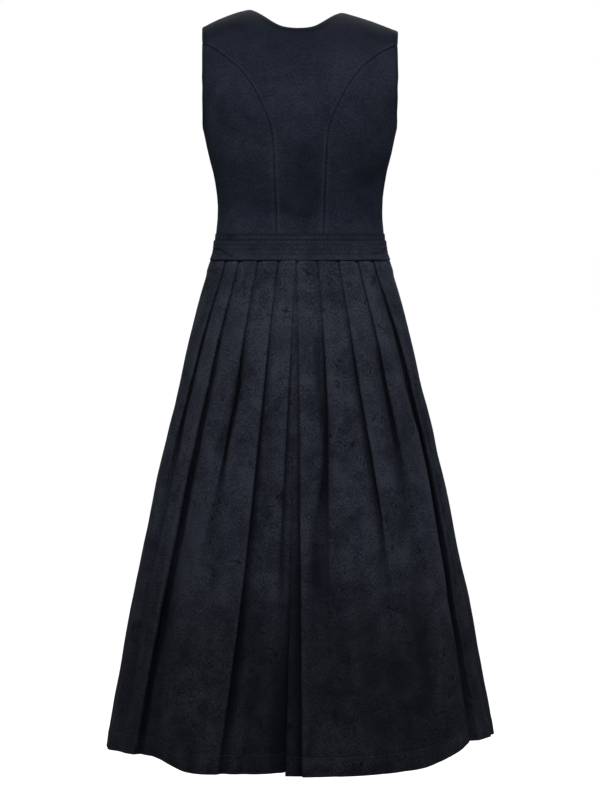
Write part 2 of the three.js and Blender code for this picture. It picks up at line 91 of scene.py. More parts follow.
def make_studio():
    for name, light in LIGHTS.items():
        soft_light(name, **light)
    world = bpy.data.worlds.new("studio")
    bpy.context.scene.world = world
    world.use_nodes = True
    tree = world.node_tree
    tree.nodes.clear()
    seen = tree.nodes.new("ShaderNodeBackground")
    seen.inputs["Color"].default_value = SEEN_BEHIND
    felt = tree.nodes.new("ShaderNodeBackground")
    felt.inputs["Color"].default_value = ALL_ROUND["colour"]
    felt.inputs["Strength"].default_value = ALL_ROUND["strength"]
    path = tree.nodes.new("ShaderNodeLightPath")
    either = tree.nodes.new("ShaderNodeMixShader")
    out = tree.nodes.new("ShaderNodeOutputWorld")
    tree.links.new(path.outputs["Is Camera Ray"], either.inputs["Fac"])
    tree.links.new(felt.outputs["Background"], either.inputs[1])
    tree.links.new(seen.outputs["Background"], either.inputs[2])
    tree.links.new(either.outputs["Shader"], out.inputs["Surface"])
    bpy.context.scene.view_settings.view_transform = "Standard"


def make_floor():
    bm = bmesh.new()
    bmesh.ops.create_circle(bm, cap_ends=True, segments=96, radius=FLOOR["radius"])
    mesh = bpy.data.meshes.new("floor")
    bm.to_mesh(mesh)
    bm.free()
    mesh.transform(Matrix.Translation((0, 0, FLOOR_Z)))
    floor = bpy.data.objects.new("floor", mesh)
    bpy.context.scene.collection.objects.link(floor)
    paper = bpy.data.materials.new("pale paper")
    paper.use_nodes = True
    tree = paper.node_tree
    shader = tree.nodes["Principled BSDF"]
    shader.inputs["Base Color"].default_value = (FLOOR["grey"], FLOOR["grey"], FLOOR["grey"], 1)
    shader.inputs["Roughness"].default_value = FLOOR["roughness"]
    shader.inputs["Specular IOR Level"].default_value = 0
    glow = tree.nodes.new("ShaderNodeEmission")
    path = tree.nodes.new("ShaderNodeLightPath")
    both = tree.nodes.new("ShaderNodeAddShader")
    tree.links.new(path.outputs["Is Camera Ray"], glow.inputs["Strength"])
    tree.links.new(shader.outputs["BSDF"], both.inputs[0])
    tree.links.new(glow.outputs["Emission"], both.inputs[1])
    tree.links.new(both.outputs["Shader"], tree.nodes["Material Output"].inputs["Surface"])
    mesh.materials.append(paper)


make_camera()
make_studio()
make_floor()

# ---------------------------------------------------------------- the garment's sizes

UNDERARM_Z = -186
BODICE_FOOT_Z = -396.5  # inside the waistband, above the skirt's turned-in top
BAND_TOP_Z = -358
OVER_BAND = {"top": -369, "foot": -401.5}
SKIRT_TOP_Z = -404.2
HEM_Z = -1187
BODICE_WALL = 1.8
SKIRT_WALL = 1.5
BAND_JOINT = 0.006  # radians between the ends of each layer of the waistband
FRONT_OPENING = 0.003  # radians, half of the way between the two fronts
SEAM_GAP = 0.1  # between the quarters of the skirt
SKIRT_CLOTH = 1.0  # thickness of the skirt's cloth, in the middle of its wall

SHOULDER = {"neck": 76, "tip": 158, "level": 70, "fall": 30, "bend": 1.4}
ARCH_Z = -110
ARCH_RISE = -ARCH_Z * math.pi / 2
ARCH_POWER = 1.1
BACK_NECK = {"depth": 31, "bend": 1.4}
FRONT_NECK_Z = -168
TORSO_FULLNESS = 2.4
TORSO = {
    "z": [-404, -358, -310, -265, -225, -186, -150, -110],
    "half": [141, 135, 132.6, 139, 149, 157, 163, 168],
    "back": [97, 93, 91, 96, 103, 108, 109, 106],
    "front": [94, 91, 92, 104, 117, 116, 108, 96],
}
BUST = {"x": 80, "z": -222, "out": 15, "wide": 50, "tall": 52}
BACK_SEAM = [(36, BODICE_FOOT_Z), (37.3, -359), (39.6, -289), (42.2, -223), (45, -197), (50, -178),
             (57.5, -161), (67.5, -140), (79.5, -120), (95, -100), (115, -82), (137, -66)]
FRONT_SEAM = [(54, BODICE_FOOT_Z), (59, -340), (72, -280), (84, -225), (97, -180), (118, -145)]
FRONT_NECKLINE = [(0.4, FRONT_NECK_Z), (24, -166), (48, -156), (63, -134), (69, -100), (72, -60)]
BACK_ARMHOLE = [(90, UNDERARM_Z), (84, -180), (77, -165), (72.5, -140), (69.5, ARCH_Z)]  # degrees, height
FRONT_ARMHOLE = [(90, UNDERARM_Z), (80, -180), (70, -165), (64.5, -140)]
BACK_SEAM_END = {"angle": 69.5, "rise": 0.48}
FRONT_SEAM_END = {"angle": 63.5, "v": -122}
FRONT_ARMHOLE_RISE = 0.3
SHOULDER_TIP = 70.1

# It sits a little to the left on the shoulders, and higher there.
WORN = {"shift": 6.5, "tilt": 0.034, "drop": 1.6}

PLACKET = {"half": 11, "wall": 1.2, "off": 0.6, "foot": -357.5}
BUTTON = {"count": 7, "radius": 6, "thick": 2.6, "pitch": 26.5, "first": -181, "stand": 1}
DISH = {"radius": 4.1, "deep": 0.8}
BUTTON_HOLES = {"at": 1.45, "radius": 0.72}  # four, for the thread
BUTTON_THREAD = {"half": 1.75, "thin": 0.2, "high": 0.26, "higher": 0.05, "apart": 0.34, "above": 0.16}
THREAD_NECK = {"foot": 1.5, "top": 1.3}  # radii of the thread wound between a button and the placket
BUTTONHOLE = {"half": 6.4, "end": 1.2, "wide": 1.1, "deep": 0.5}

SKIRT = {
    "z": [HEM_Z, -1080, -1000, -920, -840, -760, -680, -600, -530, -457, SKIRT_TOP_Z],
    "half": [316, 297, 283, 267, 250, 233, 215, 195.5, 180, 161, 144.6],
    "back": [255, 241, 230, 218, 204, 189, 172, 152, 136, 116, 101.5],
    "front": [248, 235, 224, 212, 198, 183, 166, 147, 131, 112, 98.5],
}
SKIRT_FULLNESS = {"top": 2.3, "hem": 2.05}
LEVELS = [HEM_Z, -950, -780, -600, SKIRT_TOP_Z]  # the pleats' columns below are in this order
# Each row is a fold, from the middle of the skirt to the side: its angle, the lap of its edge over the panel
# behind it (below 0 it has opened into a slope that wide) and the drop from its edge to that panel.
PLEATS_A = [
    {"angle": [9.5, 8, 6.6, 5.2, 2.9], "lap": [-20, -12, 4, 9, 12], "drop": [4, 4, 6, 7, 2.5]},
    {"angle": [24.5, 20.4, 18.6, 17, 14.5], "lap": [-8, 2, 7, 11, 12], "drop": [9, 12, 12, 10, 2.5]},
    {"angle": [43, 40.5, 36, 31.8, 27.9], "lap": [-30, -22, -10, 7, 12], "drop": [3, 5, 8, 9, 2.5]},
    {"angle": [56.4, 54.2, 52, 48.9, 42.6], "lap": [-6, 6, 10, 11, 10], "drop": [10, 15, 15, 12, 2.5]},
    {"angle": [76, 74, 70.5, 65, 55.4], "lap": [-24, -20, -12, 6, 10], "drop": [3, 4, 6, 8, 2.5]},
]
PLEATS_B = [
    {"angle": [0.6, 0.3, 0, -0.4, -1.9], "lap": [9, 10, 11, 12, 12], "drop": [9, 9, 8, 7, 2.5]},
    {"angle": [12, 10.8, 11.4, 12.5, 11.5], "lap": [-10, -9, -6, 7, 12], "drop": [2, 3, 6, 9, 2.5]},
    {"angle": [36, 34, 32, 28.9, 25.3], "lap": [-24, -16, 0, 10, 12], "drop": [3, 4, 8, 9, 2.5]},
    {"angle": [52, 51, 49, 46, 39.9], "lap": [-22, -20, -14, 2, 10], "drop": [3, 4, 5, 8, 2.5]},
    {"angle": [65, 66.5, 69, 67.5, 54.2], "lap": [-12, -4, 2, 8, 10], "drop": [11, 14, 15, 12, 2.5]},
]
MIDDLE_SEAM = [4.2, 3.5, 3, 2.6, 2.4]
FOLD = {"round": 1, "lead": 3.5, "open": 4}
HEM_RISE = {
    "skirt_back_left": ([0, 25, 35, 45, 60, 90], [0, -8, -8, 8, 7, -4]),
    "skirt_back_right": ([0, 30, 45, 60, 90], [-8, -6, 3, 24, 19]),
    "skirt_front_left": ([0, 45, 90], [-5, -2, -4]),
    "skirt_front_right": ([0, 40, 90], [-7, -3, 19]),
}

# ---------------------------------------------------------------- tables and lines


def mix(a, b, share):
    return a + (b - a) * share


def between(places, values, at):
    """A value between those given at rising places, smooth through all of them."""
    places = np.asarray(places, float)
    values = np.asarray(values, float)
    slope = np.empty(len(values))
    slope[1:-1] = (values[2:] - values[:-2]) / (places[2:] - places[:-2])
    slope[0] = (values[1] - values[0]) / (places[1] - places[0])
    slope[-1] = (values[-1] - values[-2]) / (places[-1] - places[-2])
    at = np.clip(at, places[0], places[-1])
    i = np.clip(np.searchsorted(places, at), 1, len(places) - 1)
    span = places[i] - places[i - 1]
    t = (at - places[i - 1]) / span
    bend = t * (1 - t) ** 2 * slope[i - 1] - t * t * (1 - t) * slope[i]
    return mix(values[i - 1], values[i], t * t * (3 - 2 * t)) + span * bend


def column(table, z, key):
    return between(table["z"], table[key], z)


def read_along(points, length, at):
    """The places on a line of points at some lengths along it."""
    return np.column_stack([np.interp(at, length, values) for values in points.T])


def smooth_line(points):
    """A smooth line through points, as a function of the share of its length."""
    p = np.asarray(points, float)
    p = np.vstack([p[:1], p, p[-1:]])
    t = np.linspace(0, 1, 61)[:-1, None]
    runs = []
    for a, b, c, d in zip(p, p[1:], p[2:], p[3:]):
        out, back = (c - a) / 2, (d - b) / 2
        cubed, squared = 2 * b - 2 * c + out + back, -3 * b + 3 * c - 2 * out - back
        runs.append(cubed * t**3 + squared * t**2 + out * t + b)
    dense = np.vstack([*runs, p[-1:]])
    steps = np.linalg.norm(np.diff(dense, axis=0), axis=1)
    length = np.concatenate([[0], np.cumsum(steps)])
    return lambda share: read_along(dense, length, share * length[-1])


def joined(*parts):
    """Lines laid end to end, each with its share of the steps, as one function."""
    ends = np.cumsum([0] + [share for _, share in parts]) / sum(share for _, share in parts)

    def at(share):
        share = np.asarray(share, float)
        made = np.empty((len(share), 2))
        for (part, _), low, high in zip(parts, ends, ends[1:]):
            here = (share >= low - 1e-9) & (share <= high + 1e-9)
            made[here] = part(np.clip((share[here] - low) / (high - low), 0, 1))
        return made

    return at


def mirrored(part):
    return lambda share: part(share) * [-1, 1]


def turned(part):
    return lambda share: part(1 - np.asarray(share))


PULL = {"across": 0.8, "up": 0.35}  # how much closer a panel's columns and rows lie towards its edges
# How a side's rows are shared between its seam and the open edge above it.
SIDE_STEPS = {"seam": 13, "back_armhole": 3, "front_armhole": 6, "opening": 6, "neck": 12}
# The share of a side where its seam, or the front's opening, ends.
HIGH_BACK = SIDE_STEPS["seam"] / (SIDE_STEPS["seam"] + SIDE_STEPS["back_armhole"])
HIGH_FRONT = SIDE_STEPS["seam"] / (SIDE_STEPS["seam"] + SIDE_STEPS["front_armhole"])
NECK_FRONT = SIDE_STEPS["opening"] / (SIDE_STEPS["opening"] + SIDE_STEPS["neck"])


def eased(steps, pull):
    """Shares from 0 to 1 that lie closer together towards both ends."""
    even = np.linspace(0, 1, steps + 1)
    return mix(even, (1 - np.cos(math.pi * even)) / 2, pull)


# ---------------------------------------------------------------- the form of the bodice


def section_depth(angle, fullness, back, front):
    share = (1 - np.minimum(np.abs(np.sin(angle)), 1) ** fullness) ** (1 / fullness)
    return np.where(np.cos(angle) >= 0, back * share, -front * share)


def ridge(x):
    beyond = np.maximum(0, np.abs(x) - SHOULDER["level"]) / (SHOULDER["tip"] - SHOULDER["level"])
    return -SHOULDER["fall"] * beyond ** SHOULDER["bend"]


def torso(angle, v):
    """The bodice's outer face. v is the height up to ARCH_Z, and above it the way along the arch."""
    z = np.minimum(v, ARCH_Z)
    x = column(TORSO, z, "half") * np.sin(angle)
    y = section_depth(angle, TORSO_FULLNESS, column(TORSO, z, "back"), column(TORSO, z, "front"))
    aside = (np.abs(x) - BUST["x"]) / BUST["wide"]
    above = (z - BUST["z"]) / BUST["tall"]
    swell = BUST["out"] * np.clip(-y / BUST["x"], 0, 1) * np.exp(-aside**2 - above**2)
    y = y - swell
    turn = np.maximum(0, v - ARCH_Z) / ARCH_RISE * math.pi / 2
    over = np.cos(turn)
    y = y * np.sign(over) * np.abs(over) ** ARCH_POWER
    up = np.where(v > ARCH_Z, ARCH_Z + (ridge(x) - ARCH_Z) * np.sin(turn), v)
    high = np.clip(1 - up / ARCH_Z, 0, 1) ** 1.5
    inner = np.clip(1 - (x / SHOULDER["tip"]) ** 4, 0, 1)
    lift = (WORN["tilt"] * x - WORN["drop"]) * high
    return np.stack([x + WORN["shift"] * high * inner, y, up + lift], axis=-1)


def unit(vectors):
    return vectors / np.maximum(np.linalg.norm(vectors, axis=-1, keepdims=True), 1e-9)


def torso_normal(angle, v):
    around = torso(angle + 0.01, v) - torso(angle - 0.01, v)
    up = torso(angle, v + 0.8) - torso(angle, v - 0.8)
    return unit(np.cross(up, around))


def arch_v(rise):
    return ARCH_Z + ARCH_RISE * rise


def place(x, z, front=False):
    """Where a point seen from behind or in front, at x and z, lies on the bodice: [angle, v]."""
    angle = math.asin(x / float(column(TORSO, min(z, ARCH_Z), "half")))
    v = z
    if z > ARCH_Z:
        v = ARCH_Z + ARCH_RISE * math.asin((z - ARCH_Z) / (float(ridge(x)) - ARCH_Z)) / (math.pi / 2)
    return [math.pi - angle if front else angle, v]


def panel_line(points):
    scale = np.array([SHOULDER["tip"], 1])
    inner = smooth_line(np.asarray(points, float) * scale)
    return lambda share: inner(share) / scale


def waistline(start, end):
    return panel_line([[start, BODICE_FOOT_Z], [end, BODICE_FOOT_Z]])


def row_shares(rows):
    """Shares of a panel's height where its rows are, with one at each corner of its sides."""
    shares = eased(rows, PULL["up"])
    for corner in (HIGH_BACK, HIGH_FRONT, NECK_FRONT):
        shares[np.argmin(np.abs(shares - corner))] = corner
    shares[-2] = mix(shares[-2], 1, 0.78)  # close below the shoulder's seam
    return shares


def patch(bottom, top, first, second, columns, rows):
    """Places between four edges. The form of the top edge dies away quickly below it."""
    s, t = eased(columns, PULL["across"]), row_shares(rows)
    low, high, start, end = bottom(s), top(s), first(t), second(t)
    across = s[None, :, None]
    up = (t**2)[:, None, None]
    corners = mix(mix(low[0], low[-1], across), mix(high[0], high[-1], across), up)
    return mix(low[None], high[None], up) + mix(start[:, None], end[:, None], across) - corners


# ---------------------------------------------------------------- cloth

SEWN = {}  # each piece's outer face, for what is sewn on it: grid of points, grid of normals


def lengths_along(grid, axis):
    """Distance of each point from the first one of its row or column."""
    steps = np.linalg.norm(np.diff(grid, axis=axis), axis=-1)
    start = np.zeros_like(np.take(steps, [0], axis=axis))
    return np.concatenate([start, np.cumsum(steps, axis=axis)], axis=axis)


def edge_distances(grid):
    across, up = lengths_along(grid, 1), lengths_along(grid, 0)
    return {"first": across, "second": across[:, -1:] - across, "bottom": up, "top": up[-1:] - up}


def edge_part(grid, edge, low=0.0, high=1.0):
    """The points of one edge of a panel's grid, between two shares of that edge."""
    line = {"first": grid[:, 0], "second": grid[:, -1], "bottom": grid[0], "top": grid[-1]}[edge]
    last = len(line) - 1
    shares = row_shares(last) if edge in ("first", "second") else eased(last, PULL["across"])
    start = max(int(np.searchsorted(shares, low + 0.001)) - 1, 0)
    return line[start:int(np.searchsorted(shares, high - 0.001)) + 1]


def gap_to(points, line):
    """Distance of each point from the nearest one on a line."""
    start, step = line[:-1], np.diff(line, axis=0)
    away = points[..., None, :] - start
    share = np.clip((away * step).sum(-1) / (step**2).sum(-1), 0, 1)
    return np.linalg.norm(away - share[..., None] * step, axis=-1).min(axis=-1)


def gap_to_nearest(points, lines, reach=30):
    """Distance of each point from the nearest of some lines, where it is below reach."""
    low, high = points.min(axis=(0, 1)) - reach, points.max(axis=(0, 1)) + reach
    near = [line for line in lines if np.all(line.max(axis=0) > low) and np.all(line.min(axis=0) < high)]
    return np.min([np.full(points.shape[:2], float(reach)), *(gap_to(points, line) for line in near)], axis=0)


def grid_normals(grid):
    across = np.gradient(grid, axis=1)
    up = np.gradient(grid, axis=0)
    return unit(np.cross(up, across))


def wobble(points, size, seed):
    """Smooth unevenness between -1 and 1, over distances of about size."""
    flat = points.reshape(-1, 3) / size + seed * 7.31
    return np.array([noise.noise(Vector(p)) for p in flat]).reshape(points.shape[:-1])


def unevenness(points, parts):
    return sum(part["height"] * wobble(points, part["size"], part["seed"]) for part in parts)


def bump(distance, width):
    return np.exp(-((distance / width) ** 2))


def across_from_middle(grid):
    across = lengths_along(grid, 1)
    return across - across[:, -1:] / 2


def cloth(name, grid, material, wall, side, tone=None, rim=0.5, offset=(0, 0)):
    """A sheet of cloth from a grid of points in mm: rows run up the garment, columns by rising angle.

    side is where its thickness goes: -1 inwards, 0 both ways. tone is where it is painted lighter (1), with
    wear and painted light, or darker (-1), with painted shade, and offset moves the weave, so that no two
    pieces have the same."""
    rows, columns = grid.shape[:2]
    bm = bmesh.new()
    bmesh.ops.create_grid(bm, x_segments=columns - 1, y_segments=rows - 1, size=0.5)
    mesh = bpy.data.meshes.new(name)
    bm.to_mesh(mesh)
    bm.free()
    flat = np.empty(len(mesh.vertices) * 3, np.float32)
    mesh.vertices.foreach_get("co", flat)
    flat = flat.reshape(-1, 3) + 0.5
    j = columns - 1 - np.rint(flat[:, 0] * (columns - 1)).astype(int)
    i = np.rint(flat[:, 1] * (rows - 1)).astype(int)
    mesh.vertices.foreach_set("co", (grid[i, j] * MM).astype(np.float32).ravel())
    flow = np.stack([across_from_middle(grid), lengths_along(grid, 0)], axis=-1) + offset
    corner = np.empty(len(mesh.loops), int)
    mesh.loops.foreach_get("vertex_index", corner)
    thread_way = mesh.uv_layers.new(name="weave")
    thread_way.data.foreach_set("uv", (flow[i, j][corner] * MM).astype(np.float32).ravel())
    tones = mesh.attributes.new("tone", "FLOAT", "POINT")
    shades = np.zeros((rows, columns)) if tone is None else tone
    tones.data.foreach_set("value", shades[i, j].astype(np.float32))
    mesh.shade_smooth()
    mesh.materials.append(material)
    mesh.update()
    sheet = bpy.data.objects.new(name, mesh)
    bpy.context.scene.collection.objects.link(sheet)
    thick = sheet.modifiers.new("thickness", "SOLIDIFY")
    thick.thickness = wall * MM
    thick.offset = side
    if rim:
        soft = sheet.modifiers.new("soft_edges", "BEVEL")
        soft.width = rim * MM
        soft.segments = 2
        soft.limit_method = "ANGLE"
        soft.angle_limit = math.radians(70)
    return sheet


def sewn_in(piece, node):
    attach(piece, "root")
    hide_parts(node)


# ---------------------------------------------------------------- materials


def shader_nodes(name):
    material = bpy.data.materials.new(name)
    material.use_nodes = True
    return material, material.node_tree, material.node_tree.nodes["Principled BSDF"]


def add(tree, kind, sockets=(), **settings):
    node = tree.nodes.new("ShaderNode" + kind)
    for key, value in settings.items():
        setattr(node, key, value)
    for key, value in dict(sockets).items():
        if isinstance(value, bpy.types.NodeSocket):
            tree.links.new(value, node.inputs[key])
        else:
            node.inputs[key].default_value = value
    return node


def stretched(tree, source, scale, turn=0.0):
    mapping = add(tree, "Mapping", {"Vector": source, "Scale": scale, "Rotation": (0, 0, turn)})
    return mapping.outputs["Vector"]


def noise_value(tree, vector, scale, detail=3.0, roughness=0.55, distortion=0.0):
    made = add(tree, "TexNoise", {"Vector": vector, "Scale": scale, "Detail": detail, "Roughness": roughness,
                                  "Distortion": distortion})
    return made.outputs["Fac"]


def ranged(tree, value, low, high, to_low, to_high, smooth=False):
    kind = "SMOOTHSTEP" if smooth else "LINEAR"
    made = add(tree, "MapRange", {"Value": value, "From Min": low, "From Max": high, "To Min": to_low,
                                  "To Max": to_high}, interpolation_type=kind)
    return made.outputs["Result"]


def math_of(tree, operation, a, b=0.0):
    return add(tree, "Math", {0: a, 1: b}, operation=operation).outputs["Value"]


def blended(tree, share, a, b, mode="MIX"):
    made = add(tree, "Mix", data_type="RGBA", blend_type=mode)
    for key, value in ((0, share), (6, a), (7, b)):
        if isinstance(value, bpy.types.NodeSocket):
            tree.links.new(value, made.inputs[key])
        else:
            made.inputs[key].default_value = value
    return made.outputs[2]


def bumped(tree, height, distance, strength, below=None):
    sockets = {"Height": height, "Distance": distance * MM, "Strength": strength}
    if below is not None:
        sockets["Normal"] = below
    return add(tree, "Bump", sockets).outputs["Normal"]


TWILL_PITCH = 0.0013  # metres; a wave texture of scale 1 repeats every 2 pi / 20
GREYER_LOW = {"from": -0.92, "to": -1.14, "colour": (0.92, 0.86, 0.81, 1)}  # between two heights in metres


def cotton(name, deep, light, wear_and_painted_light, shaded, patch_size, scrolls, patchy=1.2):
    """Midnight blue cotton twill with a soft nap. The weave follows the piece's own map, in metres."""
    material, tree, shader = shader_nodes(name)
    weave = add(tree, "UVMap", uv_map="weave").outputs["UV"]
    place_on = add(tree, "TexCoord").outputs["Object"]
    clouds = noise_value(tree, place_on, 1 / patch_size, 5, 0.62, 0.5)
    heather = noise_value(tree, stretched(tree, weave, (430, 250, 1)), 1, 4, 0.8)
    mottle = noise_value(tree, place_on, 85, 3, 0.65, 0.6)
    warp = noise_value(tree, stretched(tree, weave, (520, 12, 1)), 1, 2)
    weft = noise_value(tree, stretched(tree, weave, (12, 480, 1)), 1, 2)
    twill = add(tree, "TexWave", {"Vector": stretched(tree, weave, (1, 1, 1), math.radians(58)),
                                  "Scale": 2 * math.pi / 20 / TWILL_PITCH, "Distortion": 0.6, "Detail": 1},
                bands_direction="X").outputs["Fac"]
    tone = math_of(tree, "MULTIPLY", clouds, patchy)
    for part, share in ((heather, 1.5), (mottle, 0.55), (warp, 0.25), (weft, 0.2)):
        tone = math_of(tree, "ADD", tone, math_of(tree, "MULTIPLY", part, share))
    # Each noise is about 0.5 on average, so this range lies round the middle of their sum.
    share = ranged(tree, tone, 0.945 + patchy / 2, 1.545 + patchy / 2, 0, 1)
    colour = blended(tree, share, deep, light)
    grain = ranged(tree, heather, 0.32, 0.68, 0.62, 1.46)
    colour = blended(tree, 1.0, colour, grain, "MULTIPLY")
    rough = ranged(tree, tone, 1.4, 2.1, 0.82, 0.95)
    if scrolls:
        motif = scroll_lines(tree, weave)
        colour = blended(tree, math_of(tree, "MULTIPLY", motif, 0.8), colour, shaded)
        rough = math_of(tree, "SUBTRACT", rough, math_of(tree, "MULTIPLY", motif, 0.1))
        # The lower part of the skirt is made a little greyer and darker.
        height = add(tree, "SeparateXYZ", {"Vector": place_on}).outputs["Z"]
        low = math_of(tree, "ADD", height, math_of(tree, "MULTIPLY", clouds, -0.18))
        worn = ranged(tree, low, GREYER_LOW["from"], GREYER_LOW["to"], 0, 1, smooth=True)
        colour = blended(tree, worn, colour, blended(tree, 1.0, colour, GREYER_LOW["colour"], "MULTIPLY"))
    # The tone attribute paints the cloth lighter above 0, with wear and painted light, and darker below 0,
    # with painted shade.
    mark = add(tree, "Attribute", attribute_name="tone").outputs["Fac"]
    uneven = ranged(tree, noise_value(tree, weave, 260, 3, 0.7), 0.35, 0.7, 0.2, 1)
    light_marks = math_of(tree, "MULTIPLY", math_of(tree, "MAXIMUM", mark, 0.0), uneven)
    colour = blended(tree, light_marks, colour, wear_and_painted_light)
    dark = math_of(tree, "MULTIPLY", math_of(tree, "MINIMUM", mark, 0.0), -0.92)
    colour = blended(tree, dark, colour, shaded)
    tree.links.new(colour, shader.inputs["Base Color"])
    tree.links.new(rough, shader.inputs["Roughness"])
    shader.inputs["IOR"].default_value = 1.12
    shader.inputs["Sheen Weight"].default_value = 0.01
    shader.inputs["Sheen Roughness"].default_value = 0.45
    shader.inputs["Sheen Tint"].default_value = (0.55, 0.64, 0.85, 1)
    nap = noise_value(tree, weave, 130, 4, 0.6)
    normal = bumped(tree, nap, 0.7, 0.45)
    normal = bumped(tree, warp, 0.12, 0.4, normal)
    normal = bumped(tree, twill, 0.16, 0.5, normal)
    tree.links.new(normal, shader.inputs["Normal"])
    return material


CURL_SPACING = 0.03  # metres


def scroll_lines(tree, weave):
    """Thin winding lines, as in a tone-on-tone woven ground: the level lines of a soft, bent unevenness,
    drawn in some places only, with small curls between them."""
    bent = noise_value(tree, weave, 30, 1.0, 0.4, 1.6)
    vines = math_of(tree, "ABSOLUTE", math_of(tree, "SINE", math_of(tree, "MULTIPLY", bent, 26)))
    vine = ranged(tree, vines, 0.08, 0.42, 1, 0, smooth=True)
    where = ranged(tree, noise_value(tree, weave, 17, 2), 0.43, 0.58, 0, 1, smooth=True)
    moved = stretched(tree, weave, (1 / CURL_SPACING, 1 / CURL_SPACING, 1))
    cells = add(tree, "TexVoronoi", {"Vector": moved, "Scale": 1.0, "Randomness": 1.0},
                voronoi_dimensions="2D")
    offset = add(tree, "VectorMath", {0: moved, 1: cells.outputs["Position"]}, operation="SUBTRACT")
    parts = add(tree, "SeparateXYZ", {"Vector": offset.outputs["Vector"]})
    angle = math_of(tree, "ARCTAN2", parts.outputs["Y"], parts.outputs["X"])
    reach = cells.outputs["Distance"]
    curl = math_of(tree, "SINE", math_of(tree, "ADD", angle, math_of(tree, "MULTIPLY", reach, 15)))
    line = ranged(tree, math_of(tree, "ABSOLUTE", curl), 0.12, 0.5, 0.8, 0, smooth=True)
    near_middle = ranged(tree, reach, 0.2, 0.42, 1, 0, smooth=True)
    elsewhere = math_of(tree, "SUBTRACT", 1.0, where)
    curls = math_of(tree, "MULTIPLY", math_of(tree, "MULTIPLY", line, near_middle), elsewhere)
    return math_of(tree, "MAXIMUM", math_of(tree, "MULTIPLY", vine, where), curls)


def thread_material():
    material, tree, shader = shader_nodes("sewing thread")
    place_on = add(tree, "TexCoord").outputs["Object"]
    twist = noise_value(tree, place_on, 1800, 2)
    colour = blended(tree, twist, (0.0075, 0.01, 0.019, 1), (0.018, 0.022, 0.038, 1))
    tree.links.new(colour, shader.inputs["Base Color"])
    shader.inputs["Roughness"].default_value = 0.6
    shader.inputs["Specular IOR Level"].default_value = 0.3
    tree.links.new(bumped(tree, twist, 0.1, 0.5), shader.inputs["Normal"])
    return material


def horn_material():
    material, tree, shader = shader_nodes("dark horn")
    place_on = add(tree, "TexCoord").outputs["Object"]
    streaks = noise_value(tree, stretched(tree, place_on, (260, 260, 60)), 1, 4, 0.6, 0.8)
    colour = blended(tree, streaks, (0.006, 0.007, 0.012, 1), (0.03, 0.03, 0.04, 1))
    tree.links.new(colour, shader.inputs["Base Color"])
    tree.links.new(ranged(tree, streaks, 0.3, 0.7, 0.3, 0.48), shader.inputs["Roughness"])
    shader.inputs["Specular IOR Level"].default_value = 0.45
    tree.links.new(bumped(tree, streaks, 0.1, 0.2), shader.inputs["Normal"])
    return material


# The third colour of each is its lighter colour for wear and painted light, the fourth its painted shade,
# which the skirt's woven scrolls also use.
BODICE_COTTON = cotton("bodice cotton", (0.0075, 0.0102, 0.0174, 1), (0.0176, 0.0217, 0.0338, 1),
                       (0.031, 0.036, 0.048, 1), (0.0026, 0.0034, 0.0066, 1), 0.062, scrolls=False)
BAND_COTTON = cotton("band cotton", (0.0095, 0.012, 0.0188, 1), (0.02, 0.0236, 0.0346, 1),
                     (0.031, 0.036, 0.048, 1), (0.0026, 0.0034, 0.0066, 1), 0.04, scrolls=False)
SKIRT_COTTON = cotton("skirt cotton", (0.0092, 0.0112, 0.0172, 1), (0.0248, 0.0288, 0.0402, 1),
                      (0.035, 0.04, 0.053, 1), (0.0026, 0.0032, 0.0056, 1), 0.042, scrolls=True, patchy=1.6)
THREAD = thread_material()
HORN = horn_material()

# ---------------------------------------------------------------- the bodice

MIDDLE_EDGE = math.pi - FRONT_OPENING
NECK_ANGLE = math.asin(SHOULDER["neck"] / TORSO["half"][-1])


def neck_place(share):
    if abs(share) == 1:
        return [share * NECK_ANGLE, arch_v(1)]
    x = share * SHOULDER["neck"]
    dip = 0.5 + 0.5 * math.cos(math.pi * abs(share) ** BACK_NECK["bend"])
    return place(x, float(ridge(x)) - BACK_NECK["depth"] * dip)


def edges_of_bodice():
    rad = math.radians
    back_end = [rad(BACK_SEAM_END["angle"]), arch_v(BACK_SEAM_END["rise"])]
    front_end = [math.pi - rad(FRONT_SEAM_END["angle"]), FRONT_SEAM_END["v"]]
    tip = rad(SHOULDER_TIP)
    back_neck = [-1, -0.85, -0.68, -0.5, -0.3, 0, 0.3, 0.5, 0.68, 0.85, 1]
    return {
        "back_seam": panel_line([place(x, z) for x, z in BACK_SEAM] + [back_end]),
        "front_seam": panel_line([place(x, z, True) for x, z in FRONT_SEAM] + [front_end]),
        "side_seam": panel_line([[math.pi / 2, BODICE_FOOT_Z], [math.pi / 2, UNDERARM_Z]]),
        "opening": panel_line([[MIDDLE_EDGE, BODICE_FOOT_Z], [MIDDLE_EDGE, FRONT_NECK_Z]]),
        "back_armhole": panel_line([[rad(a), v] for a, v in BACK_ARMHOLE] + [back_end]),
        "back_armhole_high": panel_line([back_end, [tip, arch_v(1)]]),
        "front_armhole": panel_line([[math.pi - rad(a), v] for a, v in FRONT_ARMHOLE] + [front_end]),
        "front_armhole_high": panel_line([front_end, [front_end[0], arch_v(FRONT_ARMHOLE_RISE)],
                                          [math.pi - tip, arch_v(1)]]),
        "shoulder": panel_line([[tip, arch_v(1)], [NECK_ANGLE, arch_v(1)]]),
        "shoulder_front": panel_line([[math.pi - tip, arch_v(1)], [math.pi - NECK_ANGLE, arch_v(1)]]),
        "back_neck": panel_line([neck_place(share) for share in back_neck]),
        "front_neck": panel_line([place(x, z, True) for x, z in FRONT_NECKLINE]
                                 + [[math.pi - NECK_ANGLE, arch_v(1)]]),
    }


EDGE = edges_of_bodice()
BACK_FOOT = float(EDGE["back_seam"](np.array([0.0]))[0, 0])
FRONT_FOOT = float(EDGE["front_seam"](np.array([0.0]))[0, 0])

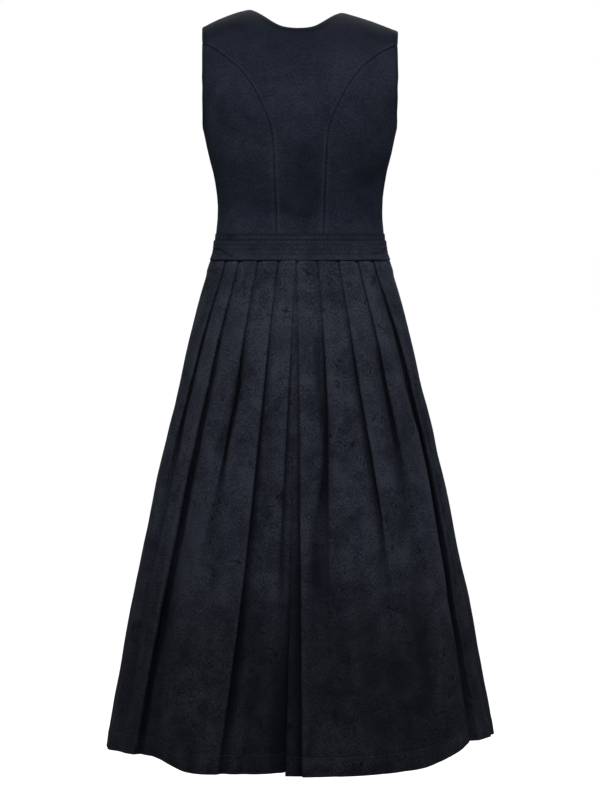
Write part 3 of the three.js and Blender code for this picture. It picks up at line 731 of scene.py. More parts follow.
# Soft creases of the bodice, seen from behind or in front: ends as (x, z), width and height (+ is a ridge).
BACK_CREASES = [
    {"ends": [(78, -310), (24, -321)], "width": 8, "height": -1.1},
    {"ends": [(-130, -258), (-96, -286)], "width": 13, "height": -1.7},
    {"ends": [(129, -347), (92, -300)], "width": 7, "height": -1.0},
    {"ends": [(-126, -338), (-88, -297)], "width": 8, "height": -1.1},
    {"ends": [(143, -148), (110, -212)], "width": 12, "height": -1.6},
    {"ends": [(-145, -156), (-117, -214)], "width": 11, "height": -1.4},
    {"ends": [(152, -54), (92, -34)], "width": 10, "height": -1.5},
    {"ends": [(-154, -58), (-100, -37)], "width": 11, "height": -1.4},
    {"ends": [(-24, -331), (27, -327)], "width": 6, "height": -0.8},
    {"ends": [(-31, -346), (11, -349)], "width": 5, "height": -0.7},
    {"ends": [(14, -246), (-20, -230)], "width": 16, "height": -1.0},
    {"ends": [(60, -128), (28, -112)], "width": 18, "height": 0.9},
    {"ends": [(-70, -122), (-30, -104)], "width": 17, "height": 0.8},
    {"ends": [(118, -322), (100, -338)], "width": 5, "height": 0.8},
]
FRONT_CREASES = [
    {"ends": [(66, -262), (108, -300)], "width": 9, "height": -1.2},
    {"ends": [(-62, -266), (-112, -305)], "width": 10, "height": -1.3},
    {"ends": [(126, -345), (84, -308)], "width": 7, "height": -1.0},
    {"ends": [(-124, -340), (-90, -300)], "width": 8, "height": -0.9},
    {"ends": [(136, -152), (104, -196)], "width": 10, "height": -1.3},
    {"ends": [(-138, -158), (-108, -204)], "width": 11, "height": -1.5},
    {"ends": [(22, -330), (52, -338)], "width": 6, "height": -0.7},
    {"ends": [(-20, -342), (-48, -333)], "width": 6, "height": -0.8},
    {"ends": [(100, -70), (86, -116)], "width": 9, "height": -0.9},
    {"ends": [(-98, -66), (-84, -108)], "width": 9, "height": -1.0},
]


def crease_height(across, up, creases):
    """Height that soft creases give to points, from their places seen flat."""
    height = np.zeros(across.shape)
    for crease in creases:
        (x0, z0), (x1, z1) = crease["ends"]
        length = math.hypot(x1 - x0, z1 - z0)
        way = ((x1 - x0) / length, (z1 - z0) / length)
        along = (across - x0) * way[0] + (up - z0) * way[1]
        aside = (up - z0) * way[0] - (across - x0) * way[1]
        aside = aside + 0.08 * length * np.sin(math.pi * np.clip(along / length, 0, 1))
        beyond = np.maximum(0, np.abs(along - length / 2) - length / 2 + crease["width"])
        height += crease["height"] * bump(aside, crease["width"]) * bump(beyond, crease["width"] * 1.4)
    return height


SEAM = {"press": 0.13, "groove": 0.6, "flat": 0.6, "narrow": 0.7, "welt": 0.15, "welt_at": 4, "welt_wide": 3,
        "pucker": 0.28, "pucker_long": 7.5, "pucker_wide": 6}
TURNED_EDGE = {"down": 1.0, "round": 1.3, "full": 0.3, "full_at": 4, "full_wide": 2.5}
BODICE_UNEVEN = [{"height": 0.9, "size": 75, "seed": 1}, {"height": 0.35, "size": 28, "seed": 4}]
BODICE_COLUMNS = {"back": 120, "side_back": 54, "side_front": 46, "front": 46}
BODICE_ROWS = {"side": 80, "shoulder": 104}  # of a panel that ends under the arm, or on the shoulder
# Tones of the bodice: lighter beside its seams near the waist and on its edges, painted shade in its seams,
# darker behind its edges, and painted shade where the cloth faces up, against the light from above.
BODICE_SHADE = {"beside_seam": 0.4, "in_seam": -0.75, "edge": 0.25, "behind_edge": -0.4, "facing_up": -1.15}


def seam_relief(points, distance):
    """A seam pulls the cloth in along its line, with a low welt and puckers beside it. The last half
    millimetre is level, so that the two edges meet squarely."""
    groove = -SEAM["groove"] * bump(np.maximum(distance - SEAM["flat"], 0), SEAM["narrow"])
    welt = SEAM["welt"] * bump(distance - SEAM["welt_at"], SEAM["welt_wide"])
    pucker = SEAM["pucker"] * wobble(points, SEAM["pucker_long"], 2) * bump(distance, SEAM["pucker_wide"])
    return groove + welt + pucker


def edge_relief(distance):
    """A turned edge: the cloth rounds over its last two millimetres and is a little fuller just inside."""
    fuller = TURNED_EDGE["full"] * bump(distance - TURNED_EDGE["full_at"], TURNED_EDGE["full_wide"])
    return fuller - TURNED_EDGE["down"] * bump(distance, TURNED_EDGE["round"])


# Patches of painted shade (below 0) and painted light on the bodice: the middle (x, z), half sizes and tone.
BACK_TONES = [
    {"at": (-12, -284), "size": (36, 64), "tone": -0.5},
    {"at": (58, -318), "size": (40, 13), "tone": -0.34},
    {"at": (-108, -268), "size": (26, 22), "tone": -0.36},
    {"at": (100, -150), "size": (20, 26), "tone": -0.22},
    {"at": (98, -250), "size": (42, 76), "tone": -0.22},
    {"at": (-98, -250), "size": (44, 84), "tone": -0.3},
    {"at": (62, -222), "size": (60, 26), "tone": 0.25},
    {"at": (-106, -318), "size": (24, 26), "tone": -0.2},
    {"at": (0, -92), "size": (70, 40), "tone": -0.06},
    {"at": (-52, -190), "size": (14, 40), "tone": 0.14},
    {"at": (-2, -345), "size": (26, 9), "tone": 0.2},
    {"at": (96, -350), "size": (22, 12), "tone": 0.2},
    {"at": (-90, -348), "size": (20, 10), "tone": 0.14},
    {"at": (-14, -312), "size": (84, 24), "tone": -0.16},
    {"at": (118, -200), "size": (24, 60), "tone": 0.3},
    {"at": (-132, -150), "size": (20, 24), "tone": 0.25},
]
FRONT_TONES = [
    {"at": (78, -258), "size": (32, 20), "tone": -0.35},
    {"at": (-80, -262), "size": (30, 22), "tone": -0.38},
    {"at": (120, -230), "size": (20, 50), "tone": -0.3},
    {"at": (-122, -226), "size": (20, 46), "tone": -0.26},
    {"at": (36, -318), "size": (18, 30), "tone": -0.28},
    {"at": (-34, -324), "size": (18, 26), "tone": -0.22},
    {"at": (84, -196), "size": (24, 18), "tone": 0.14},
    {"at": (-84, -192), "size": (24, 18), "tone": 0.12},
]


def laid_tones(across, up, tones):
    made = np.zeros(across.shape)
    for patch_of in tones:
        (x, z), (wide, tall) = patch_of["at"], patch_of["size"]
        made += patch_of["tone"] * np.exp(-(((across - x) / wide) ** 2 + ((up - z) / tall) ** 2) ** 1.3)
    return made


def bodice_lines():
    """The bodice's seams and its open edges, as lines of points on its face."""
    def run(name, way):
        places = EDGE[name](np.linspace(0, 1, 61)) * [way, 1]
        return torso(places[:, 0], places[:, 1])

    sewn = ("back_seam", "front_seam", "side_seam", "shoulder")
    seams = [run(name, way) for name in sewn for way in (1, -1)]
    open_edges = ("back_armhole", "back_armhole_high", "front_armhole", "front_armhole_high", "front_neck",
                  "opening")
    edges = [run(name, way) for name in open_edges for way in (1, -1)]
    return seams, edges + [run("back_neck", 1)]


SEAM_LINES, OPEN_EDGES = bodice_lines()


def bodice_panel(name, places):
    angle, v = places[..., 0], places[..., 1]
    face, normal = torso(angle, v), torso_normal(angle, v)
    behind = face[..., 1] > 0
    height = np.where(behind, crease_height(face[..., 0], face[..., 2], BACK_CREASES),
                      crease_height(face[..., 0], face[..., 2], FRONT_CREASES))
    # Patches of painted light and shade, with painted shade in the creases and painted light on their ridges.
    tone = np.where(behind, laid_tones(face[..., 0], face[..., 2], BACK_TONES),
                    laid_tones(face[..., 0], face[..., 2], FRONT_TONES)) + 0.1 * height
    height = height + unevenness(face, BODICE_UNEVEN)
    gap = gap_to_nearest(face, SEAM_LINES)
    height = height + seam_relief(face, gap)
    waist = np.clip((-170 - v) / 60, 0, 1)
    shade = BODICE_SHADE
    tone = tone + shade["beside_seam"] * waist * bump(gap - 4, 4) + shade["in_seam"] * bump(gap, 1.0)
    gap = gap_to_nearest(face, OPEN_EDGES)
    height = height + edge_relief(gap)
    tone = tone + shade["edge"] * bump(gap - 2, 1.6) + shade["behind_edge"] * bump(gap - 7, 4)
    tone = 0.9 * tone + shade["facing_up"] * np.maximum(normal[..., 2], 0) ** 1.2
    moved = face + normal * height[..., None]
    for edge, beside_it in ((0, 1), (-1, -2)):  # the sewn edges press into each other
        moved[:, edge] += unit(moved[:, edge] - moved[:, beside_it]) * SEAM["press"]
    moved[-1] += unit(moved[-1] - moved[-2]) * SEAM["press"]
    SEWN[name] = (moved, normal)
    piece = cloth(name + "_cloth", moved, BODICE_COTTON, BODICE_WALL, -1, np.clip(tone, -1, 1))
    sewn_in(piece, name)
    return piece


def make_bodice():
    made = {}
    columns, rows = BODICE_COLUMNS, BODICE_ROWS
    back_side = joined((EDGE["back_seam"], SIDE_STEPS["seam"]),
                       (EDGE["back_armhole_high"], SIDE_STEPS["back_armhole"]))
    back_top = joined((mirrored(EDGE["shoulder"]), 4), (EDGE["back_neck"], 12), (turned(EDGE["shoulder"]), 4))
    back = patch(waistline(-BACK_FOOT, BACK_FOOT), back_top, mirrored(back_side), back_side, columns["back"],
                 rows["shoulder"])
    made["bodice_back_centre"] = back
    side_back = patch(waistline(BACK_FOOT, math.pi / 2), turned(EDGE["back_armhole"]),
                      EDGE["back_seam"], EDGE["side_seam"], columns["side_back"], rows["side"])
    side_front = patch(waistline(math.pi / 2, FRONT_FOOT), EDGE["front_armhole"],
                       EDGE["side_seam"], EDGE["front_seam"], columns["side_front"], rows["side"])
    front_side = joined((EDGE["front_seam"], SIDE_STEPS["seam"]),
                        (EDGE["front_armhole_high"], SIDE_STEPS["front_armhole"]))
    front_middle = joined((EDGE["opening"], SIDE_STEPS["opening"]), (EDGE["front_neck"], SIDE_STEPS["neck"]))
    front = patch(waistline(FRONT_FOOT, MIDDLE_EDGE), EDGE["shoulder_front"], front_side, front_middle,
                  columns["front"], rows["shoulder"])
    for side in ("left", "right"):
        # On the right a panel is mirrored, and its columns still run by rising angle.
        turn = (lambda grid: (grid * [-1, 1])[:, ::-1]) if side == "right" else (lambda grid: grid)
        made[f"bodice_side_back_{side}"] = turn(side_back)
        made[f"bodice_side_front_{side}"] = turn(side_front)
        made[f"bodice_front_{side}"] = turn(front)
    return {name: bodice_panel(name, places) for name, places in made.items()}


PIECES = make_bodice()

# ---------------------------------------------------------------- the waistband

# Lengthwise tucks of the over layer: height, depth, half width and how far they wander, in mm.
BAND_TUCKS = [
    {"z": -377.5, "depth": 0.6, "wide": 1.2, "wander": 1.0},
    {"z": -384.2, "depth": 0.5, "wide": 1.1, "wander": 1.2},
    {"z": -391.5, "depth": 0.4, "wide": 1.3, "wander": 1.6},
]
# Short soft creases of the over layer: ends as (degrees round from the middle of the back, height).
BAND_CREASES = [
    {"ends": [(88, -386), (47, -398)], "width": 2.0, "height": -0.8},
    {"ends": [(-80, -378), (-54, -391)], "width": 1.8, "height": -0.7},
    {"ends": [(-43, -385), (-51, -388)], "width": 1.4, "height": -0.5},
    {"ends": [(100, -391), (136, -395)], "width": 1.7, "height": -0.6},
    {"ends": [(-96, -381), (-128, -390)], "width": 1.9, "height": -0.7},
]
BAND_MM_A_DEGREE = 2.1
BAND_CLOTH = {"under": 1.5, "over": 2.9, "thick": 1.1}  # how far each layer's face is from the bodice's
BAND_FLARE = {"out": 2.2, "tall": 8}  # the over layer's foot stands out over the skirt's top
UNDER_BULGE = {"angle": 55, "wide": 9, "height": 0.9}
OVER_JOINT = math.pi + 0.103  # the over layer meets itself to one side of the middle


def band(name, angles, heights, off, creases, tucks, seed):
    places = np.stack(np.meshgrid(angles, heights), axis=-1)
    angle, v = places[..., 0], places[..., 1]
    degrees = np.degrees(angle)
    round_mm = np.where(degrees < -180, degrees + 360, degrees) * BAND_MM_A_DEGREE
    face, normal = torso(angle, v), torso_normal(angle, v)
    distance = edge_distances(face)
    edge = np.minimum(distance["top"], distance["bottom"])
    scaled = [{**c, "ends": [(a * BAND_MM_A_DEGREE, z) for a, z in c["ends"]]} for c in creases]
    folds = crease_height(round_mm, v, scaled)
    for k, tuck in enumerate(tucks):
        line = tuck["z"] + tuck["wander"] * wobble(face * [1, 1, 0], 55, seed + k)
        fade = np.clip(0.65 + 0.8 * wobble(face * [1, 1, 0], 42, seed + k + 9), 0.1, 1.2)
        folds = folds - tuck["depth"] * fade * bump(v - line, tuck["wide"])
    uneven = 0.25 * wobble(face, 30, seed) + 0.16 * wobble(face * [1, 1, 3], 12, seed + 1)
    rounded_edge = -0.3 * bump(edge, 0.8) + 0.15 * bump(edge - 3, 2)
    height = off + folds + uneven + rounded_edge
    # Painted shade in the band's creases and tucks and along its top and bottom edges.
    tone = 0.6 * folds - 0.7 * bump(distance["bottom"], 1.3) - 0.75 * bump(distance["top"], 1.5) - 0.1
    if name == "waistband_under":
        bulge = bump(round_mm - UNDER_BULGE["angle"] * BAND_MM_A_DEGREE, UNDER_BULGE["wide"])
        height = height + UNDER_BULGE["height"] * bulge * bump(v - (BAND_TOP_Z + OVER_BAND["top"]) / 2, 4)
        # Painted shade on the under layer over its bulge, just above the over layer's top and along the line
        # of its stitching.
        tone = tone - 0.5 * bulge * bump(v - BAND_TOP_Z + 6, 5) - 0.6 * bump(v - OVER_BAND["top"] - 1, 1.4)
        tone = tone - 0.7 * bump(distance["top"] - 2.6, 1.1)
    else:
        height = height + BAND_FLARE["out"] * bump(v - OVER_BAND["foot"], BAND_FLARE["tall"])
    moved = face + normal * height[..., None]
    SEWN[name] = (moved, normal)
    piece = cloth(name + "_cloth", moved, BAND_COTTON, BAND_CLOTH["thick"], -1, np.clip(tone, -1, 1), rim=0.4)
    sewn_in(piece, name)
    return piece


def make_waistband():
    ends = math.pi - BAND_JOINT
    heights = mix(BODICE_FOOT_Z, BAND_TOP_Z, eased(22, 0.6))
    under = band("waistband_under", np.linspace(-ends, ends, 241), heights, BAND_CLOTH["under"], [], [], 71)
    heights = mix(OVER_BAND["foot"], OVER_BAND["top"], eased(34, 0.4))
    angles = np.linspace(-OVER_JOINT, 2 * math.pi - OVER_JOINT - BAND_JOINT, 301)
    over = band("waistband_over", angles, heights, BAND_CLOTH["over"], BAND_CREASES, BAND_TUCKS, 83)
    return {"waistband_under": under, "waistband_over": over}


PIECES |= make_waistband()

# ---------------------------------------------------------------- the placket and its buttons


def make_placket():
    heights = np.linspace(PLACKET["foot"], FRONT_NECK_Z, 121)
    half = np.arcsin(PLACKET["half"] / column(TORSO, heights, "half"))
    angle = math.pi + half[:, None] * mix(-1, 1, eased(22, 0.6))[None, :]
    v = np.broadcast_to(heights[:, None], angle.shape)
    face, normal = torso(angle, v), torso_normal(angle, v)
    distance = edge_distances(face)
    side = np.minimum(distance["first"], distance["second"])
    height = PLACKET["off"] + PLACKET["wall"] + 0.2 * wobble(face, 14, 5) + 0.15 * wobble(face, 6, 6)
    height = height - 0.45 * bump(side, 1) - 0.2 * bump(side - 2.5, 0.8) - 0.4 * bump(distance["top"], 1.2)
    for number in range(BUTTON["count"]):
        below = v - button_height(number)
        beyond = np.maximum(0, np.abs(below) - BUTTONHOLE["half"])
        hole = bump(face[..., 0], BUTTONHOLE["wide"]) * bump(beyond, BUTTONHOLE["end"])
        height = height - BUTTONHOLE["deep"] * hole
        # It puffs up a little between two buttons.
        height = height + 0.25 * bump(face[..., 0], 7) * bump(np.abs(below) - BUTTON["pitch"] / 2, 5)
    moved = face + normal * height[..., None]
    SEWN["front_placket"] = (moved, normal)
    # Lighter along its edges, with painted shade along the lines of its stitching.
    tone = 0.3 * bump(side - 1, 1.2) - 0.4 * bump(side - 2.5, 0.9)
    piece = cloth("front_placket_cloth", moved, BODICE_COTTON, PLACKET["wall"] - 0.1, -1, tone, rim=0.35)
    sewn_in(piece, "front_placket")
    return piece


def button_height(number):
    return BUTTON["first"] - BUTTON["pitch"] * number


def button_mesh():
    """A round button in mm, lying on z = 0: a raised rim round a shallow dish, with four holes."""
    dish, holes_at, hole = DISH["radius"], BUTTON_HOLES["at"], BUTTON_HOLES["radius"]
    thick, radius, dish_floor = BUTTON["thick"], BUTTON["radius"], BUTTON["thick"] - DISH["deep"]
    outline = [(dish, 0), (radius - 0.9, 0), (radius - 0.2, 0.5), (radius, 1.1), (radius, 1.7),
               (radius - 0.3, 2.3), (radius - 0.9, thick), (radius - 1.4, thick - 0.15), (dish, dish_floor)]
    bm = bmesh.new()
    profile = [bm.verts.new((r, 0, z)) for r, z in outline]
    for a, b in zip(profile, profile[1:]):
        bm.edges.new((a, b))
    bmesh.ops.spin(bm, geom=bm.verts[:] + bm.edges[:], cent=(0, 0, 0), axis=(0, 0, 1), angle=2 * math.pi,
                   steps=40, use_merge=True)
    walls = []
    for z in (0, dish_floor):
        rim = [e for e in bm.edges if e.is_boundary and abs(e.verts[0].co.z - z) < 0.01]
        rings = []
        for quarter in range(4):
            turn = math.pi / 4 + quarter * math.pi / 2
            spot = Matrix.Translation((holes_at * math.cos(turn), holes_at * math.sin(turn), z))
            ring = bmesh.ops.create_circle(bm, cap_ends=False, segments=12, radius=hole, matrix=spot)["verts"]
            rings.append(list({e for v in ring for e in v.link_edges}))
        bmesh.ops.triangle_fill(bm, use_beauty=True, edges=rim + [e for ring in rings for e in ring])
        walls.append(rings)
    for low, high in zip(*walls):
        bmesh.ops.bridge_loops(bm, edges=low + high)
    bmesh.ops.remove_doubles(bm, verts=bm.verts, dist=0.001)
    bmesh.ops.recalc_face_normals(bm, faces=bm.faces)
    return bm


def make_button(number):
    v = button_height(number)
    middle = torso(np.array(math.pi), np.array(v))
    normal = Vector(torso_normal(np.array(math.pi), np.array(v)))
    stand = PLACKET["off"] + PLACKET["wall"] + BUTTON["stand"]
    turn = normal.to_track_quat("Z", "Y").to_matrix().to_4x4()
    spin = Matrix.Rotation(math.radians(37 * number), 4, "Z")
    pose = Matrix.Scale(MM, 4) @ Matrix.Translation(Vector(middle) + normal * stand) @ turn @ spin
    name = f"button_{number + 1}"
    horn = finished(name + "_horn", button_mesh(), pose, HORN, 45)
    sewn_in(horn, name)
    bm = bmesh.new()
    size = BUTTON_THREAD
    on_dish = BUTTON["thick"] - DISH["deep"] + size["above"]
    for k in range(3):  # three threads lie side by side from each hole to the one across from it
        for way in (1, -1):
            across_dish = Matrix.Rotation(way * math.pi / 4, 4, "Z")
            laid = across_dish @ Matrix.Translation((0, (k - 1) * size["apart"], on_dish))
            shape = laid @ Matrix.Diagonal((size["half"], size["thin"], size["high"] + size["higher"] * k, 1))
            bmesh.ops.create_uvsphere(bm, u_segments=12, v_segments=6, radius=1, matrix=shape)
    neck = Matrix.Translation((0, 0, -BUTTON["stand"] / 2 + 0.1))
    bmesh.ops.create_cone(bm, cap_ends=True, segments=14, radius1=THREAD_NECK["foot"],
                          radius2=THREAD_NECK["top"], depth=BUTTON["stand"] + 0.6, matrix=neck)
    thread = finished(name + "_thread", bm, pose, THREAD, 60)
    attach(thread, "root")


def finished(name, bm, pose, material, smooth_below):
    """Puts a shape that is made in mm in its place, and closes it off."""
    bmesh.ops.transform(bm, matrix=pose, verts=bm.verts)
    mesh = bpy.data.meshes.new(name)
    bm.to_mesh(mesh)
    bm.free()
    mesh.shade_smooth()
    mesh.set_sharp_from_angle(angle=math.radians(smooth_below))
    mesh.materials.append(material)
    piece = bpy.data.objects.new(name, mesh)
    bpy.context.scene.collection.objects.link(piece)
    return piece


PIECES["front_placket"] = make_placket()
for number in range(BUTTON["count"]):
    make_button(number)

# ---------------------------------------------------------------- the skirt

HEM_TURN = {"height": 29, "layer": 1.4}
WAIST_TURN = {"in": 8.5, "down": 7}
WAIST_RISE = {"up": 5.2, "tall": 5}  # the pleats' tops run up behind the waistband
WAIST_SWELL = {"out": 1.9, "below": 11, "tall": 8}  # and they are fullest just below it
ALLOWANCE = {"depth": 7, "steps": 3}  # the seam allowances stand inwards from the seams
FOLD_STEPS = 3
PANEL_STEPS = 6
SIDE_PANEL_STEPS = 8
SKIRT_ROWS = 116

# Soft creases of the skirt: lines down the cloth as (height, degrees round from the middle), with their half
# width and height in mm. A ridge is above 0 and a trough below.
CREASES = {
    "skirt_back_left": [
        {"line": [(-600, 30), (-637, 32), (-659, 32.1), (-687, 34.4), (-738, 36.2)], "wide": 8, "high": -4.5},
        {"line": [(-610, 35), (-650, 36.5), (-700, 38.5)], "wide": 6, "high": 2.2},
        {"line": [(-600, 31.2), (-634, 31.8)], "wide": 5, "high": -5.0, "fade": 16},
        {"line": [(-676, 34), (-700, 35)], "wide": 6, "high": -3.5, "fade": 18},
        {"line": [(-460, 20.5), (-560, 23), (-700, 27.5)], "wide": 13, "high": -1.2},
        {"line": [(-770, 29), (-900, 31), (-1060, 30), (-1187, 31.5)], "wide": 18, "high": -1.4},
        {"line": [(-700, 12), (-850, 15), (-1020, 14), (-1187, 16)], "wide": 15, "high": -3.0},
        {"line": [(-880, 48), (-1000, 50), (-1187, 48.5)], "wide": 15, "high": -4.0},
        {"line": [(-700, 64.5), (-900, 66), (-1187, 67)], "wide": 14, "high": -3.4},
        {"line": [(-860, 83), (-1000, 82), (-1187, 84)], "wide": 10, "high": -2.4},
        {"line": [(-560, 57), (-700, 59), (-860, 61)], "wide": 7, "high": 2.2},
        {"line": [(-640, 5), (-748, 5), (-880, 7)], "wide": 9, "high": -2.6},
        {"line": [(-560, 84), (-760, 86), (-1187, 88)], "wide": 12, "high": -1.5},
    ],
    "skirt_back_right": [
        {"line": [(-555, 50.2), (-613, 56.2), (-671, 60.3), (-724, 61.9), (-787, 62), (-883, 59.9),
                  (-954, 57.1)], "wide": 8, "high": 5.0},
        {"line": [(-628, 73.3), (-709, 73.8), (-790, 72.5), (-871, 72), (-959, 67.6), (-1056, 67)],
         "wide": 10, "high": -5.0},
        {"line": [(-600, 43), (-760, 45), (-1000, 46)], "wide": 17, "high": -3.0},
        {"line": [(-560, 9.5), (-630, 10.5), (-696, 11), (-748, 9.3), (-810, 6.4), (-873, 5.7)], "wide": 9,
         "high": -6.0},
        {"line": [(-700, 19), (-880, 22), (-1040, 21), (-1187, 24)], "wide": 18, "high": -1.6},
        {"line": [(-960, 42), (-1187, 44)], "wide": 15, "high": -3.2},
        {"line": [(-880, 78), (-1000, 79), (-1187, 80)], "wide": 12, "high": -4.0},
        {"line": [(-470, 19), (-560, 20.5), (-680, 23.5)], "wide": 12, "high": -1.2},
        {"line": [(-730, 14), (-900, 16), (-1080, 17.5)], "wide": 9, "high": 1.8},
        {"line": [(-430, 73), (-600, 80), (-800, 84)], "wide": 8, "high": 2.0},
    ],
    "skirt_front_left": [
        {"line": [(-590, 51), (-700, 58), (-820, 59), (-960, 56)], "wide": 8, "high": 4.4},
        {"line": [(-640, 73), (-800, 72), (-1040, 68)], "wide": 10, "high": -4.4},
        {"line": [(-660, 10.5), (-760, 8.5), (-900, 6)], "wide": 9, "high": -4.2},
        {"line": [(-720, 20), (-900, 22), (-1187, 24.5)], "wide": 17, "high": -3.4},
        {"line": [(-940, 43), (-1187, 44.5)], "wide": 14, "high": -3.0},
        {"line": [(-840, 79), (-1187, 80)], "wide": 12, "high": -3.6},
        {"line": [(-470, 19), (-640, 22)], "wide": 12, "high": -1.2},
    ],
    "skirt_front_right": [
        {"line": [(-610, 30.5), (-680, 33), (-770, 36)], "wide": 8, "high": -3.8},
        {"line": [(-780, 30), (-960, 31.5), (-1187, 31)], "wide": 17, "high": -3.2},
        {"line": [(-720, 13), (-900, 15), (-1187, 16)], "wide": 14, "high": -3.0},
        {"line": [(-870, 48.5), (-1187, 48)], "wide": 14, "high": -3.8},
        {"line": [(-720, 64.5), (-1187, 66)], "wide": 14, "high": -3.2},
        {"line": [(-560, 57.5), (-880, 60.5)], "wide": 8, "high": 2.2},
        {"line": [(-650, 5), (-860, 6.5)], "wide": 9, "high": -2.4},
    ],
}
CREASE_FADE = 55  # a crease dies away over about this height at its ends
SKIRT_UNEVEN = [{"height": 1.6, "size": 34, "seed": 4}, {"height": 0.8, "size": 14, "seed": 9}]
PAINTED_SHADE_LOW = {"from": -865, "over": 120, "wander": 80, "tone": -0.38}  # painted shade below a wandering height

# Patches of painted light and painted shade on the skirt: the middle (degrees round from the middle, height),
# half sizes and tone.
SKIRT_TONES = {
    "skirt_back_left": [
        {"at": (52, -560), "size": (14, 90), "tone": 0.3},
        {"at": (29, -750), "size": (7, 70), "tone": 0.35},
        {"at": (38, -800), "size": (6, 110), "tone": 0.25},
        {"at": (47, -872), "size": (8, 60), "tone": 0.6},
        {"at": (31, -1030), "size": (6, 110), "tone": 0.42},
        {"at": (16, -870), "size": (5, 45), "tone": 0.4},
        {"at": (21, -1150), "size": (6, 60), "tone": 0.42},
        {"at": (5, -515), "size": (12, 16), "tone": 0.2},
        {"at": (24, -512), "size": (44, 22), "tone": 0.35},
        {"at": (59, -950), "size": (5, 40), "tone": -0.2},
    ],
    "skirt_back_right": [
        {"at": (51, -670), "size": (8, 60), "tone": -0.35},
        {"at": (35, -1050), "size": (7, 90), "tone": -0.3},
        {"at": (10, -905), "size": (9, 90), "tone": -0.34},
        {"at": (29.5, -880), "size": (6, 40), "tone": 0.4},
        {"at": (21, -790), "size": (6, 60), "tone": 0.25},
        {"at": (12, -1160), "size": (8, 60), "tone": 0.35},
        {"at": (35, -630), "size": (6, 30), "tone": 0.25},
        {"at": (22, -512), "size": (40, 22), "tone": 0.3},
    ],
    "skirt_front_left": [
        {"at": (48, -690), "size": (9, 60), "tone": -0.3},
        {"at": (34, -1060), "size": (8, 90), "tone": -0.25},
        {"at": (24, -830), "size": (7, 60), "tone": 0.3},
        {"at": (14, -1140), "size": (9, 60), "tone": 0.25},
    ],
    "skirt_front_right": [
        {"at": (50, -570), "size": (14, 80), "tone": 0.25},
        {"at": (30, -770), "size": (7, 70), "tone": 0.3},
        {"at": (46, -900), "size": (6, 50), "tone": 0.35},
        {"at": (22, -1130), "size": (7, 70), "tone": 0.3},
        {"at": (58, -960), "size": (6, 50), "tone": -0.2},
    ],
}


def skirt_outline(degrees, z, front):
    share = (z - SKIRT_TOP_Z) / (HEM_Z - SKIRT_TOP_Z)
    fullness = mix(SKIRT_FULLNESS["top"], SKIRT_FULLNESS["hem"], share)
    turn = np.radians(np.minimum(degrees, 90))
    depth = section_depth(turn, fullness, column(SKIRT, z, "front" if front else "back"), 0)
    return np.stack([column(SKIRT, z, "half") * np.sin(turn), np.abs(depth)], axis=-1)


def pleat_path(lap, drop, lead):
    """One pleat from the panel beside it to its own panel: distances from its edge, and heights."""
    folded = min(max(lap / FOLD["open"], 0), 1)
    closed = np.array([-1, -1, -0.76, -0.53, -0.47, -0.24, 0, 0])
    opened = np.array([-1, -0.98, -0.85, -0.6, -0.4, -0.15, -0.02, 0])
    heights = drop * mix(opened, closed, folded)
    bend = FOLD["round"] * folded
    if lap > 0:
        along = [-lead, lap - bend, lap, lap - bend, bend, 0, bend, lap + FOLD["lead"]]
    else:
        along = [lap - lead, *(lap * np.array([0.92, 0.78, 0.58, 0.42, 0.22, 0.08])), FOLD["lead"]]
    return np.array(along), heights


# How a panel falls away from the fold above it to the fold beside it: share of its width, share of the drop.
PANEL_FALL = [(0.4, 0.1), (0.78, 0.42)]


def quarter_path(pleats, z, front, first):
    """The cloth's line at one height, from the middle seam to the side seam: rows of [degrees, height]."""
    path = [[first, -float(between(LEVELS, PLEATS_B[0]["drop"], z))]]
    for pleat in pleats:
        angle, lap, drop = (float(between(LEVELS, pleat[key], z)) for key in ("angle", "lap", "drop"))
        here, a_degree_on = (skirt_outline(abs(angle) + more, z, front) for more in (0, 1))
        speed = float(np.linalg.norm(a_degree_on - here))
        room = (angle - path[-1][0]) * speed + min(lap, 0)
        along, heights = pleat_path(lap, drop, min(FOLD["lead"], 0.4 * room))
        degrees = angle + along / speed
        if len(path) > 1:
            last = path[-1][0]
            path += [[mix(last, degrees[0], share), -fall * drop] for share, fall in PANEL_FALL]
        path += [[d, h] for d, h in zip(degrees, heights)]
    path += [[mix(path[-1][0], 90, share), 0] for share in (0.35, 0.7, 1)]
    return np.array(path)


def rounded(path, steps):
    """A line that rounds off each corner of a path, with a number of steps at each corner."""
    made = [path[0]]
    for k in range(1, len(path) - 1):
        start = path[0] if k == 1 else (path[k - 1] + path[k]) / 2
        end = path[-1] if k == len(path) - 2 else (path[k] + path[k + 1]) / 2
        for t in np.arange(1, steps[k] + 1) / steps[k]:
            made.append((1 - t) ** 2 * start + 2 * t * (1 - t) * path[k] + t * t * end)
    return np.array(made)


def path_steps(pleats):
    """Steps at each corner of a quarter's path: few round a fold, many across a panel."""
    steps = [1]
    for number in range(len(pleats)):
        steps += [PANEL_STEPS] * len(PANEL_FALL) if number else []
        steps += [FOLD_STEPS] * 7 + [FOLD_STEPS + 1]
    return steps + [SIDE_PANEL_STEPS] * 3


def skirt_creases(degrees, z, speed, creases):
    height = np.zeros(degrees.shape)
    for crease in creases:
        falls, turns = np.array(crease["line"], float).T
        middle = np.interp(-z, -falls, turns) + 0.5 * np.sin(z / 43 + falls[0])
        top, foot = falls[0], falls[-1]
        beyond = np.maximum(z - top, 0) + (np.maximum(foot - z, 0) if foot > HEM_Z else 0)
        height += crease["high"] * bump((degrees - middle) * speed, crease["wide"]) * bump(
            beyond, crease.get("fade", CREASE_FADE))
    return height


MIDDLE_SHADE = 52  # how far the middle fold's painted shade reaches over the panel behind it at the hem
